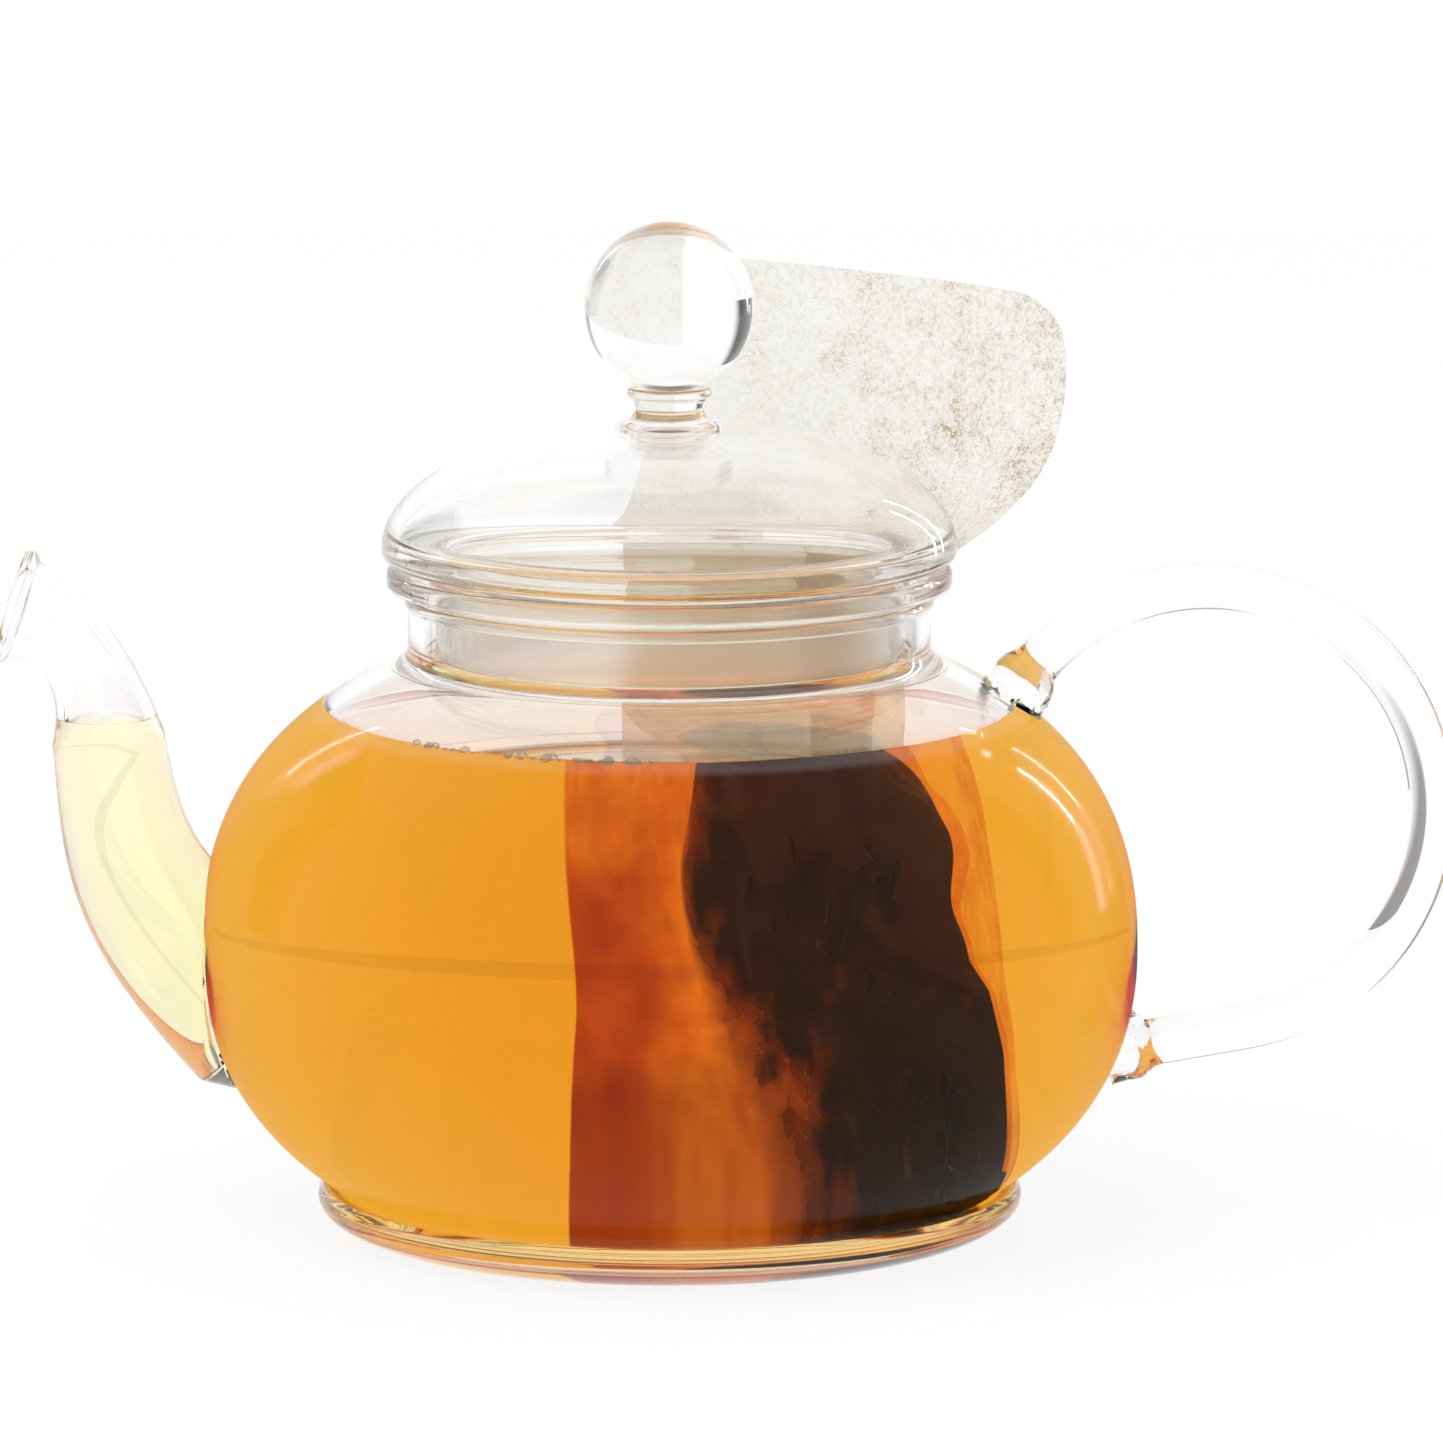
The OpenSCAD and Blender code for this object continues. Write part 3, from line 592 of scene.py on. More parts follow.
def handleLine():  # the loop and its lower arm, from inside the bowl's wall and back into it
    centre = Vector((pot["bowlR"] + handle["loopOut"], pot["midZ"] + handle["loopRise"]))
    end = math.radians(handle["loopEnd"])
    steps = handle["steps"]
    loop = [centre + Vector((math.cos(a), math.sin(a))) * handle["loopR"]
            for a in (mix(math.pi, end, i / steps) for i in range(steps + 1))]
    armDir = Vector((math.sin(end), -math.cos(end)))
    path = loop + [loop[-1] + armDir * i for i in range(1, handle["armL"] + 1)]
    outside = [p for p in path if p.x > bowlRadius(p.y)]
    first, last = path.index(outside[0]), path.index(outside[-1])
    line = path[max(0, first - 2):last + 3]
    run = [0]
    for p, q in zip(line, line[1:]):
        run.append(run[-1] + (q - p).length)
    radii = []
    for along in run:
        away = min(along - run[2], run[-3] - along)
        flare = ease(1 - (away - handle["flareStand"]) / handle["flareL"]) ** handle["flarePower"]
        radii.append(mix(handle["rodD"], handle["flareD"], flare) / 2)
    return line, radii


def buildPotGlass():
    glass = turned("potGlass", potOutside(), pot["turns"])
    bore = spoutBore(0)
    combine(bore, glass, "DIFFERENCE", keepTool=True)  # the bowl is still solid, so its wall stays whole here
    line, radii = spoutLine()
    combine(glass, drawn("spoutTube", line, radii, spout["sides"]), "UNION")
    combine(glass, spoutLip(line[-1], radii[-1]), "UNION")
    rod = drawn("handleRod", *handleLine(), handle["sides"])
    for v in rod.data.vertices:  # the welds are lumpy
        p = v.co / mm
        near = ease(1 - (math.hypot(p.x, p.y) - bowlRadius(p.z)) / handle["lumpReach"])
        v.co += noise.noise_vector(p / handle["lumpSize"]) * handle["lump"] * near * mm
    combine(glass, rod, "UNION")
    combine(glass, turned("potBore", potInside(0, 6), pot["turns"]), "DIFFERENCE")
    combine(glass, bore, "DIFFERENCE")
    combine(glass, spoutHole(0, spout["holeFrom"]), "DIFFERENCE")
    return resharpen(glass, 32)


tea = {
    "level": teaLook["level"], "overlap": 0.12, "creep": 0.8, "creepW": 2.6, "spoutCreep": 0.35, "spoutCreepW": 1.2,
    "branchFrom": -3, "coreFrom": 2, "turns": 224,
}


def buildBowlTea(lap, level):
    creep = tea["creep"]
    wallR = roundedOff(*shoulder(pot["wall"] - lap), level + creep - pot["midZ"])
    inside = [(r, z) for r, z in potInside(lap, 6) if z < pot["midZ"] or z < level + creep and r > wallR - 0.01]
    surface = [(wallR - tea["creepW"] * t, level + creep * (1 - t) ** 3) for t in (i / 10 for i in range(11))]
    return turned("brewedTea", finePoints(inside + surface + [(0, level)], pot["ringGap"]), tea["turns"])


def buildSpoutTea(lap, level):
    branch = spoutBore(lap)
    topZ = pot["midZ"] + pot["shoulderRise"] - 1
    core = turned("core", [(0, tea["coreFrom"])] + bowlCurve(lap, tea["coreFrom"], topZ, 40, 40) + [(0, topZ)],
                  tea["turns"])
    combine(branch, core, "DIFFERENCE")
    bm = bmesh.new()
    bm.from_mesh(branch.data)
    bmesh.ops.bisect_plane(bm, geom=bm.verts[:] + bm.edges[:] + bm.faces[:], plane_co=(0, 0, level * mm),
                           plane_no=(0, 0, 1), clear_outer=True)
    top = bmesh.ops.edgeloop_fill(bm, edges=[e for e in bm.edges if e.is_boundary])["faces"]
    edge = list(top[0].verts)
    bmesh.ops.inset_region(bm, faces=top, thickness=tea["spoutCreepW"] * mm, use_even_offset=True)
    for v in edge:  # the tea creeps a little up the spout's wall
        v.co.z += tea["spoutCreep"] * mm
    bmesh.ops.recalc_face_normals(bm, faces=bm.faces)
    bm.to_mesh(branch.data)
    bm.free()
    combine(branch, spoutHole(lap, tea["branchFrom"]), "UNION")
    branch.name = "spoutTea"
    return branch


def wallGlass(face):  # a face's place in the list of the pot's glasses
    x, y, z = face.center / mm
    outward = face.normal.x * x + face.normal.y * y + face.normal.z * (z - pot["midZ"])
    inner = outward < 0 and math.hypot(x, y) < bowlRadius(z, 1)
    outer = outward > 0 and abs(math.hypot(x, y) - bowlRadius(z)) < 0.3
    if inner and glassLook["wetZ"] < z < tea["level"] + 1:
        return 2  # the bore, where tea stands against it
    if outer and pot["grooveZ"] < z < tea["level"] + 2.4:
        return 3  # the bowl's outside, as far up as the tea is seen through it, its mirror dimmed as painted shade
    if not inner and z < glassLook["wetZ"] and face.normal.z > -0.5:
        return 4  # the foot's side, tinted amber as painted light
    if inner and pot["neckZ"] - 1 < z < pot["rimZ"] - 2.5:
        return 1  # the neck, where steam settles
    return 0


potGlass = buildPotGlass()
dress(potGlass, clearGlass, mistedGlass, wettedGlass, bowlGlass, paintedAmberFootGlass)
for face in potGlass.data.polygons:
    face.material_index = wallGlass(face)
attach(potGlass, "pot")
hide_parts("pot_bowl", "spout", "handle")
print("pot glass ready:", len(potGlass.data.polygons), "faces")

brewedTea = resharpen(buildBowlTea(tea["overlap"], tea["level"]), 50)
spoutTea = resharpen(buildSpoutTea(tea["overlap"], tea["level"]), 50)
for piece, liquid in ((brewedTea, teaLiquid), (spoutTea, teaThin)):
    dress(piece, liquid)
    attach(piece, "pot")
print("tea ready:", len(brewedTea.data.polygons), "faces")

bubbles = {
    "count": 40, "from": -32, "to": -2, "small": 0.3, "large": 0.8, "gap": 0.15, "stray": 0.9, "seed": 5,
    "skin": (1, 0.93, 0.8), "glow": (1, 0.97, 0.9), "milk": 0.6, "rough": 0.3, "rim": 0.35, "mottle": 2500,
}


def makeFilm():
    material, nodes, links, out = startMaterial("bubbleFilm")
    edge = nodes.new("ShaderNodeLayerWeight")
    edge.inputs["Blend"].default_value = bubbles["rim"]
    mottle = addRange(nodes, links, addNoise(nodes, links, bubbles["mottle"], detail=2), 0.3, 0.7, 0.05, 0.3)
    skin = addShader(nodes, links, "BsdfPrincipled", Base_Color=bubbles["skin"], Roughness=bubbles["rough"])
    milky = choose(nodes, links, bubbles["milk"], skin,
                   addShader(nodes, links, "BsdfTranslucent", Color=bubbles["glow"]))
    share = addMath(nodes, links, "ADD", edge.outputs["Facing"], mottle, clamp=True)
    filmAndSheen = choose(nodes, links, share, addShader(nodes, links, "BsdfTransparent"), milky)
    links.new(filmAndSheen, out.inputs["Surface"])
    return material


def buildBubbles():  # a row of small bubbles where the tea meets the front of the glass
    rng = random.Random(bubbles["seed"])
    bm = bmesh.new()
    contact = roundedOff(*shoulder(pot["wall"]), tea["level"] + tea["creep"] - pot["midZ"])
    for i in range(bubbles["count"]):
        r = mix(bubbles["small"], bubbles["large"], rng.random() ** 2.2)
        x = mix(bubbles["from"], bubbles["to"], rng.random() ** 1.2)
        reach = contact - r - bubbles["gap"] - rng.uniform(0, bubbles["stray"]) * (rng.random() < 0.3)
        spot = Vector((x, -math.sqrt(reach ** 2 - x ** 2), tea["level"] + tea["creep"] / 2))
        bmesh.ops.create_icosphere(bm, subdivisions=2, radius=r * mm, matrix=Matrix.Translation(spot * mm))
    return makePiece("teaBubbles", bm)


teaBubbles = buildBubbles()
dress(teaBubbles, makeFilm())
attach(teaBubbles, "pot")
print("bubbles ready:", len(teaBubbles.data.polygons), "faces")

# the lid: dome, locating ring, collar and ball knob in one blown piece
lid = {
    "gap": 0.65, "edge": 1.9, "rise": 16.2, "wall": 2, "seatT": 2.2,
    "skirtR": 29.8, "skirtWall": 1.8, "skirtDrop": 12.7,
    "knobR": 10.9, "stemH": 3.6, "stemR": 4.3, "stemFoot": 2.4, "ringR": 5.4, "ringH": 1.4,
    "turns": 192, "ringGap": 1.3,
}
lid["seatZ"] = pot["rimZ"] + lid["gap"]
lid["lidR"] = pot["rimR"] + lid["gap"]


def lidOutline():
    seatZ, lidR, edge = lid["seatZ"], lid["lidR"], lid["edge"]
    domeZ = seatZ + edge
    topZ = domeZ + lid["rise"]
    innerR, innerRise = lidR - lid["wall"], lid["rise"] - lid["wall"]
    skirtR, skirtInR, skirtZ = lid["skirtR"], lid["skirtR"] - lid["skirtWall"], seatZ - lid["skirtDrop"]
    half = lid["skirtWall"] / 2
    ledgeZ = seatZ + lid["seatT"]
    knobZ = topZ + lid["stemH"] + lid["knobR"]
    ringZ = topZ + lid["stemH"] - lid["ringH"] / 2
    outline = arcPoints(0, domeZ, innerR, innerRise, 90, 7, 40)
    outline += soften(outline[-1], (innerR - 0.2, ledgeZ), (innerR - 2.2, ledgeZ))
    outline += soften((skirtInR + 1, ledgeZ), (skirtInR, ledgeZ), (skirtInR, ledgeZ - 1))
    outline += arcPoints(skirtR - half, skirtZ + half, half, half, -180, 0, 12)
    outline += soften((skirtR, seatZ - 0.8), (skirtR, seatZ), (skirtR + 0.8, seatZ))
    outline += arcPoints(lidR - edge, domeZ, edge, edge, -90, 0, 12)
    footR = lid["stemR"] + lid["stemFoot"]
    outline += arcPoints(0, domeZ, lidR, lid["rise"], 3, math.degrees(math.acos(footR / lidR)), 44)
    footZ = outline[-1][1]
    outline += soften((footR, footZ), (lid["stemR"] + 0.1, topZ + 0.1), (lid["stemR"], topZ + lid["stemH"] / 2), 8)
    bead = lid["ringH"] / 2
    outline += arcPoints(lid["ringR"] - bead, ringZ + bead, bead, bead, -90, 90, 10)
    touch = math.degrees(math.acos(-(knobZ - ringZ - lid["ringH"] + 0.1) / lid["knobR"])) - 90
    outline += arcPoints(0, knobZ, lid["knobR"], lid["knobR"], -touch, 90, 44)
    outline[-1] = (0, outline[-1][1])
    outline[0] = (0, outline[0][1])
    return finePoints(outline, lid["ringGap"])


lidGlass = resharpen(turned("lidGlass", lidOutline(), lid["turns"]), 40)
dress(lidGlass, clearGlass, mistedGlass)
for face in lidGlass.data.polygons:
    x, y, z = face.center / mm
    face.material_index = 1 if z < lid["seatZ"] - 1 and math.hypot(x, y) < lid["skirtR"] - 0.9 else 0
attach(lidGlass, "lid")
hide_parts("lid_dome", "lid_skirt", "knob_collar", "lid_knob")
print("lid glass ready:", len(lidGlass.data.polygons), "faces")

# the paper bag: a pouch against the bowl's wall, a neck, and a flap bent out over the lip
bag = {
    "z": 5.5, "left": Vector((-9.52, 20)), "right": Vector((29.02, 5.5)), "full": 16, "foot": 2, "footH": 9,
    "fullZ": 50, "thinZ": 68, "skew": 1.6, "azLeft": 102, "azRight": 12, "paperR": 30.55, "paperT": 0.2,
    "overZ": pot["rimZ"] + lid["gap"] / 2, "bend": 0.6, "flapR": lid["lidR"] + 0.7,
    "flapLeftZ": 122, "flapRightZ": 118.5, "corner": 7, "cornerU": 0.15, "spread": 3,
    "sheetT": 0.12, "frontIn": 0.4, "frontEnd": 2,
    "pleat": (0.56, 0.79), "pleatIn": 0.9, "pleatBow": 0.8, "pleatFrom": 6,
    "columns": 72, "rows": 80, "neckSteps": 12, "bendSteps": 6, "flapSteps": 36, "pouchSteps": 48,
}
bag["line"] = bag["right"] - bag["left"]
bag["across"] = Vector((-bag["line"].y, bag["line"].x)).normalized()


def aroundNeck(u):
    a = math.radians(mix(bag["azLeft"], bag["azRight"], u))
    return Vector((math.cos(a), math.sin(a)))


def between(value, table):  # reads a table of (value, result) pairs, rising
    for (a, b), (c, d) in zip(table, table[1:]):
        if value <= c:
            return mix(b, d, ease((value - a) / (c - a)))
    return table[-1][1]


# by height, how far along the bag's line its back ply, its front ply's fold and its left edge reach
backEdge = [(0, 1.1), (19, 1.12), (26, 1.09), (35, 1.065), (45, 1.045), (60, 1.02), (72, 1)]
foldEdge = [(0, 1.05), (18, 1.1), (26, 1.08), (31, 1.05), (35, 0.99), (38.5, 0.96), (43, 0.995),
            (45, 0.975), (47, 0.9), (50, 0.86), (60, 0.82), (72, 0.8)]
leftEdge = [(0, 0), (20, 0.02), (29, 0.03), (42, 0), (72, 0)]


def pouchPoint(s, z, side, edge=backEdge):  # s runs across the bag, and side is 1 on its back and -1 on its front
    thin = ease((z - bag["fullZ"]) / (bag["thinZ"] - bag["fullZ"]))
    rise = min(1, (z - bag["z"]) / bag["footH"])
    u = mix(between(z, leftEdge), between(z, edge), s)
    thick = mix(mix(bag["foot"], bag["full"], math.sin(rise * math.pi / 2)), bag["paperT"], thin)
    bulge = (bag["paperT"] + (thick - bag["paperT"]) * math.sin(math.pi * min(1, max(0, s)) ** bag["skew"])) / 2
    around = aroundNeck(u)
    middle = (bag["left"] + bag["line"] * u).lerp(around * bag["paperR"], thin)
    p = middle + bag["across"].lerp(around, thin) * bulge * side
    return Vector((p.x, p.y, z))


def flapTop(u):
    c = max(0, 1 - (1 - u) / bag["cornerU"])
    return mix(bag["flapLeftZ"], bag["flapRightZ"], u) - bag["corner"] * (1 - math.sqrt(max(0, 1 - c * c)))


def flapPoint(u, v):  # the flap opens from the round lip to a flatter curve at its top
    r = bag["flapR"]
    left, right, pull = Vector((-0.07, 1.02)) * r, Vector((1.36, 0.373)) * r, Vector((0.765, 0.96)) * r
    edge = left * (1 - u) ** 2 + pull * 2 * u * (1 - u) + right * u * u
    p = (aroundNeck(u) * r).lerp(edge, 1 - (1 - v) ** bag["spread"])
    return Vector((p.x, p.y, mix(bag["overZ"] + bag["bend"], flapTop(u), v)))


def sheetRows():  # the back ply's rows, from the bag's bottom up over the rim to the flap's top edge
    r, over, bend = bag["paperR"], bag["overZ"], bag["bend"]
    pouch, neck, turns, flap = (bag[name] for name in ("pouchSteps", "neckSteps", "bendSteps", "flapSteps"))
    quarter = math.pi / 2
    rows = [lambda u, z=z: pouchPoint(u, z, 1) for z in
            [mix(bag["z"], bag["thinZ"], i / pouch) for i in range(pouch + 1)]]

    def ring(radius, z):
        return lambda u: Vector((*(aroundNeck(u) * radius), z))

    rows += [ring(r, mix(bag["thinZ"], over - bend, i / neck)) for i in range(1, neck + 1)]
    rows += [ring(r + bend * (1 - math.cos(a)), over - bend * (1 - math.sin(a)))
             for a in (quarter * i / turns for i in range(1, turns + 1))]
    rows += [ring(bag["flapR"] - bend * (1 - math.sin(a)), over + bend * (1 - math.cos(a)))
             for a in (quarter * i / turns for i in range(turns + 1))]
    rows += [lambda u, v=v: flapPoint(u, v) for v in [i / flap for i in range(1, flap + 1)]]
    return rows


def softRipple(p):  # wet paper waves more than dry paper
    wet = ease((66 - p.z) / 14)
    dry = ease((p.z - 89) / 10)
    shift = noise.noise_vector(p / 13) * 0.9 * wet + noise.noise_vector(p / 9 + Vector((7, 3, 1))) * 0.35 * dry
    return Vector((shift.x * 0.6, shift.y, shift.z * 0.3))


def frontPoint(s, z):  # the front ply, narrower in the neck
    if z < bag["thinZ"]:
        return pouchPoint(s, z, -1, foldEdge)
    far = mix(between(z, foldEdge), 0.8, ease((z - bag["thinZ"]) / 6))
    near = mix(0, 0.2, ease((z - bag["thinZ"]) / 10))
    return Vector((*(aroundNeck(mix(near, far, s)) * (bag["paperR"] - bag["frontIn"])), z))


def pleatPoint(s, z):  # a pressed fold inside the neck
    r = bag["paperR"] - bag["pleatIn"] - bag["pleatBow"] * math.sin(math.pi * s)
    return Vector((*(aroundNeck(mix(*bag["pleat"], s)) * r), z))


def makePly(where, columns, rows):  # where gives the point in millimetres at a share along each side
    bm = bmesh.new()
    bmesh.ops.create_grid(bm, x_segments=columns, y_segments=rows, size=0.5)
    for v in bm.verts:
        p = where(v.co.x + 0.5, v.co.y + 0.5)
        v.co = (p + softRipple(p)) * mm
    return bm


def addPly(bm, where, columns, rows):
    ply = makePly(where, columns, rows)
    mesh = bpy.data.meshes.new("ply")
    ply.to_mesh(mesh)
    ply.free()
    bm.from_mesh(mesh)
    bpy.data.meshes.remove(mesh)


def buildPaper():
    rows = sheetRows()
    last = len(rows) - 1
    bm = makePly(lambda u, v: rows[round(v * last)](u), bag["columns"], last)
    addPly(bm, lambda s, v: frontPoint(s, mix(bag["z"], pot["rimZ"] - bag["frontEnd"], v)), bag["columns"], bag["rows"])
    addPly(bm, lambda s, v: pleatPoint(s, mix(pot["neckZ"] - bag["pleatFrom"], pot["rimZ"] - 1, v)), 16, 16)
    bmesh.ops.recalc_face_normals(bm, faces=bm.faces)
    bmesh.ops.solidify(bm, geom=bm.faces, thickness=bag["sheetT"] * mm)
    return makePiece("paperBag", bm, crease=60)


paperBag = buildPaper()
dress(paperBag, filterPaper)
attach(paperBag, "bag")
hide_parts("filter_bag")
print("paper bag ready:", len(paperBag.data.polygons), "faces")

# the wet leaves: one soft mass with loose flakes in it
leaves = {
    "zFrom": 7, "zTo": 51, "square": 0.6, "rightEdge": 0.985, "lump": 1.1, "lumpSize": 5,
    "count": 420, "flakeTo": 43, "small": 1.2, "large": 3.2, "flakeT": 0.25, "flakeRight": 0.88, "seed": 11,
}
# where the mass and the dust at its edge begin across the bag, by height, and, by place across, the top of its dark
# part, above which a painted reflection lightens it
massLeft = [(0, 0.8), (19, 0.88), (20.5, 0.84), (25.5, 0.7), (29, 0.55), (34.5, 0.44), (38, 0.4), (60, 0.39)]
dustLeft = [(0, 0.38), (19, 0.42), (20.5, 0.38), (25.5, 0.3), (34.5, 0.275), (38, 0.285), (60, 0.285)]
massTop = [(0.28, 38), (0.36, 41.6), (0.45, 42.4), (0.57, 39), (0.63, 40), (0.69, 42.6), (0.75, 40), (0.86, 35),
           (0.98, 31.5)]


def addMass(bm, mass, filmAndSheen):
    for v in bmesh.ops.create_icosphere(bm, subdivisions=6, radius=1)["verts"]:
        x, y, z = (math.copysign(abs(c) ** leaves["square"], c) for c in v.co)
        height = mix(leaves["zFrom"] + 1, leaves["zTo"] - 1, (z + 1) / 2)
        left, dust = between(height, massLeft), between(height, dustLeft)
        s = mix(dust, leaves["rightEdge"], (x + 1) / 2)
        p = pouchPoint(s, height, y * 0.8, foldEdge)
        p += noise.noise_vector(p / leaves["lumpSize"]) * leaves["lump"] * ease((1 - x) / 0.4)
        v.co = p * mm
        v[mass] = (s - dust) / (left - dust)
        # the height above the dark top, where the painted reflection begins
        v[filmAndSheen] = height - between(s, massTop)


def addFlake(bm, mass, filmAndSheen, rng):
    size = rng.uniform(leaves["small"], leaves["large"]) * mm
    flake = bmesh.ops.create_grid(bm, x_segments=3, y_segments=2, size=0.5)["verts"]
    curl = rng.uniform(0.15, 0.5)
    for v in flake:
        x, y = v.co.x, v.co.y
        y *= 1 - 1.5 * x * x
        v.co = Vector((x * 1.6, y * 0.8, curl * (x * x * 2 + y * y) + rng.uniform(-0.06, 0.06)))
        v[mass], v[filmAndSheen] = 1.2, -5
    z = mix(leaves["zFrom"], leaves["flakeTo"], rng.random() ** 0.8)
    s = rng.uniform(between(z, massLeft) + 0.04, leaves["flakeRight"])
    p = pouchPoint(s, z, rng.uniform(-0.8, 0.8), foldEdge)
    spin = Matrix.Identity(4)
    for low, high, axis in ((0, 6.3, "Z"), (0.9, 2.2, "X"), (0, 6.3, "Z")):
        spin = spin @ Matrix.Rotation(rng.uniform(low, high), 4, axis)
    bmesh.ops.transform(bm, matrix=Matrix.Translation(p * mm) @ spin @ Matrix.Scale(size, 4), verts=flake)


def buildLeaves():
    rng = random.Random(leaves["seed"])
    bm = bmesh.new()
    mass, filmAndSheen = (bm.verts.layers.float.new(layer) for layer in ("mass", "filmAndSheen"))
    addMass(bm, mass, filmAndSheen)
    for i in range(leaves["count"]):
        addFlake(bm, mass, filmAndSheen, rng)
    flakes = [f for f in bm.faces if len(f.verts) == 4]
    bmesh.ops.solidify(bm, geom=flakes, thickness=leaves["flakeT"] * mm)
    return makePiece("teaLeaves", bm)


teaLeaves = buildLeaves()
dress(teaLeaves, leafSkin)
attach(teaLeaves, "bag")
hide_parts("tea_leaves")
print("leaves ready:", len(teaLeaves.data.polygons), "faces")

# the studio: floor, white surroundings, cards that the glass mirrors or shows bent, one lamp and the camera
studio = {
    "floorR": 1.2, "floorWhite": 0.92, "shadowShare": 0.12, "fill": 0.95,
    "keyPlace": (-0.6, -0.7, 1.3), "keySize": (1.2, 0.9), "keyEnergy": 11,
}
strips = {  # bright cards on both sides, which the bowl mirrors: low and high end, width and shade
    "strip": {"low": (0.7, 0.6, 0), "high": (0.56, 0.63, 0.62), "width": 0.01, "shade": 150},
    "thinStrip": {"low": (0.6, 0.68, 0), "high": (0.46, 0.71, 0.62), "width": 0.007, "shade": 90},
}
flags = {  # darker cards: rest is the shade at the soft edge, and flat 0 lets a card's height not count for it
    "flagLeft": {"low": (-0.62, 0.42, -0.05), "high": (-0.62, 0.42, 0.62), "width": 0.5, "shade": 0.04,
                 "rest": 1, "flat": 0, "seenThrough": "solid"},
    "flagRight": {"low": (0.74, 0.3, -0.05), "high": (0.74, 0.3, 0.62), "width": 0.24, "shade": 0.2,
                  "rest": 1, "flat": 0, "seenThrough": "solid"},
    "flagFlat": {"low": (-0.12, 0.1, 0.002), "high": (-0.6, 0.42, 0.002), "width": 0.2, "shade": 0.1,
                 "rest": 1, "seenThrough": "solid"},
    "flagLow": {"low": (0.13, 0.03, 0.002), "high": (0.13, 0.15, 0.002), "width": 0.16, "shade": 0.3,
                "rest": 1, "seenThrough": "solid"},
    "darkTop": {"low": (0, 0.15, 1.1), "high": (0, 0.8, 1.1), "width": 0.9, "shade": 0.08,
                "rest": 1, "seenThrough": "solid", "mirrored": False},
    "tableEdge": {"low": (0, 0.26, 0.0005), "high": (0, 0.26, 0.0045), "width": 1.6, "shade": 0.9,
                  "seenThrough": "filled", "mirrored": False},
}
filledDepth = 4.5  # light that has crossed more surfaces than this has been through the tea


def addSight(nodes, links):  # is a ray from the camera, through glass or off a mirror
    path = nodes.new("ShaderNodeLightPath").outputs
    seen = addMath(nodes, links, "MAXIMUM", path["Is Camera Ray"], path["Is Transmission Ray"])
    return addMath(nodes, links, "MAXIMUM", seen, path["Is Glossy Ray"])


def makeFloor():
    bm = bmesh.new()
    bmesh.ops.create_circle(bm, cap_ends=True, segments=96, radius=studio["floorR"])
    floor = makePiece("studioFloor", bm)
    material, nodes, links, out = startMaterial("paleFloor")
    matte = addShader(nodes, links, "BsdfDiffuse", Color=(studio["floorWhite"],) * 3)
    white = addShader(nodes, links, "Emission", Color=(1, 1, 1), Strength=1)
    share = addMath(nodes, links, "MULTIPLY", addSight(nodes, links), 1 - studio["shadowShare"])
    links.new(choose(nodes, links, share, matte, white), out.inputs["Surface"])
    dress(floor, material)


def makeWorld():
    world = bpy.data.worlds.new("studioWorld")
    scene.world = world
    world.use_nodes = True
    nodes, links = world.node_tree.nodes, world.node_tree.links
    nodes.clear()
    out = nodes.new("ShaderNodeOutputWorld")
    fill, white = (addShader(nodes, links, "Background", Color=(1, 1, 1), Strength=strength)
                   for strength in (studio["fill"], 1))
    links.new(choose(nodes, links, addSight(nodes, links), fill, white), out.inputs["Surface"])


def fadeOut(nodes, links, middle, width, shade, rest, flat):  # the card's shade softens to rest towards its edge
    place = nodes.new("ShaderNodeTexCoord")
    offset, away, reach = (nodes.new("ShaderNodeVectorMath") for i in range(3))
    offset.operation, away.operation, reach.operation = "SUBTRACT", "MULTIPLY", "LENGTH"
    offset.inputs[1].default_value = middle
    away.inputs[1].default_value = (1, 1, flat)
    links.new(place.outputs["Object"], offset.inputs[0])
    links.new(offset.outputs["Vector"], away.inputs[0])
    links.new(away.outputs["Vector"], reach.inputs[0])
    return addRange(nodes, links, reach.outputs["Value"], width * 0.5, width * 0.3, rest, shade)


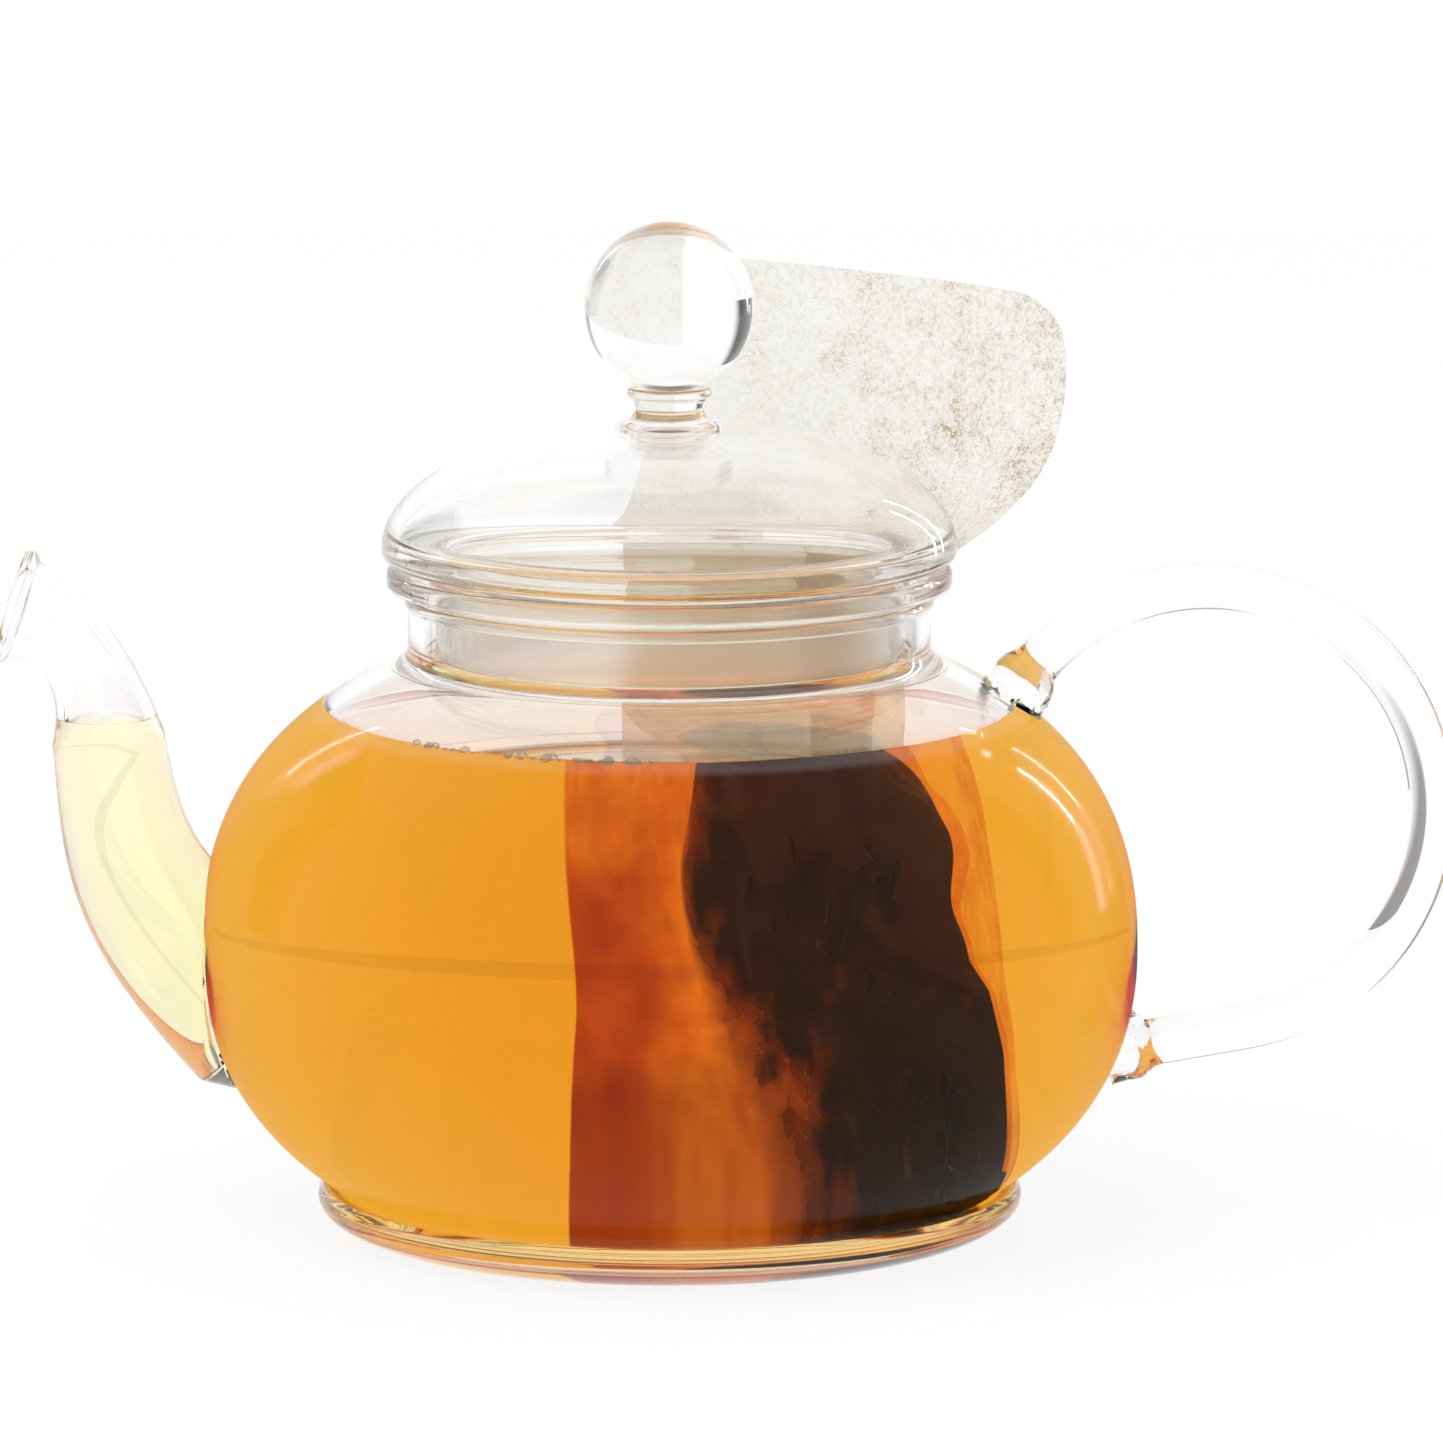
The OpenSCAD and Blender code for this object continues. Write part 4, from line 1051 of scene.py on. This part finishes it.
def addCard(name, low, high, width, shade, rest=None, flat=1, seenThrough=None, mirrored=True):
    # seenThrough is "solid" glass or "filled" glass
    low, high = Vector(low), Vector(high)
    middle, up = (low + high) / 2, high - low
    bm = bmesh.new()
    bmesh.ops.create_grid(bm, x_segments=1, y_segments=1, size=0.5)
    turn = Matrix((up.cross(middle).normalized(), up.normalized(), Vector((0, 0, 1)))).transposed()
    turn.col[2] = turn.col[0].cross(turn.col[1])
    place = Matrix.Translation(middle) @ turn.to_4x4() @ Matrix.Diagonal((width, up.length, 1, 1))
    bmesh.ops.transform(bm, matrix=place, verts=bm.verts)
    card = makePiece(name, bm)
    material, nodes, links, out = startMaterial(name + "Shade")
    strength = shade if rest is None else fadeOut(nodes, links, middle, width, shade, rest, flat)
    if seenThrough:
        depth = nodes.new("ShaderNodeLightPath").outputs["Transmission Depth"]
        hidden = "GREATER_THAN" if seenThrough == "solid" else "LESS_THAN"
        strength = addMath(nodes, links, "MAXIMUM", addMath(nodes, links, hidden, depth, filledDepth), strength)
    glow = addShader(nodes, links, "Emission", Color=(1, 1, 1), Strength=strength)
    links.new(glow, out.inputs["Surface"])
    dress(card, material)
    card.visible_camera = card.visible_diffuse = card.visible_shadow = False
    card.visible_glossy = mirrored
    card.visible_transmission = bool(seenThrough)


def addKeyLamp():
    key = bpy.data.lights.new("keyLight", "AREA")
    key.energy = studio["keyEnergy"]
    key.shape = "RECTANGLE"
    key.size, key.size_y = studio["keySize"]
    lamp = bpy.data.objects.new("keyLight", key)
    scene.collection.objects.link(lamp)
    spot = Vector(studio["keyPlace"])
    lamp.matrix_world = Matrix.Translation(spot) @ spot.to_track_quat("Z", "Y").to_matrix().to_4x4()
    lamp.visible_glossy = lamp.visible_transmission = False


view = {"target": (6.65, 0, 65.97), "elevation": 9, "distance": 1.3, "lens": 253.6, "sensor": 36, "clip": (0.05, 30)}


def addCamera():
    lens = bpy.data.cameras.new("camera")
    lens.sensor_width, lens.lens = view["sensor"], view["lens"]
    lens.clip_start, lens.clip_end = view["clip"]
    camera = bpy.data.objects.new("camera", lens)
    scene.collection.objects.link(camera)
    tilt = math.radians(view["elevation"])
    back = Vector((0, -math.cos(tilt), math.sin(tilt))) * view["distance"]
    camera.location = Vector(view["target"]) * mm + back
    camera.rotation_euler = (math.pi / 2 - tilt, 0, 0)
    scene.camera = camera


makeFloor()
makeWorld()
for end, side in (("Left", -1), ("Right", 1)):
    for name, strip in strips.items():
        low, high = ((x * side, y, z) for x, y, z in (strip["low"], strip["high"]))
        addCard(name + end, low, high, strip["width"], strip["shade"])
for name, flag in flags.items():
    addCard(name, **flag)
addKeyLamp()
addCamera()
scene.view_settings.view_transform = "Standard"
scene.cycles.max_bounces = scene.cycles.transmission_bounces = scene.cycles.glossy_bounces = 64
scene.cycles.transparent_max_bounces = 48
print("stage and camera ready")
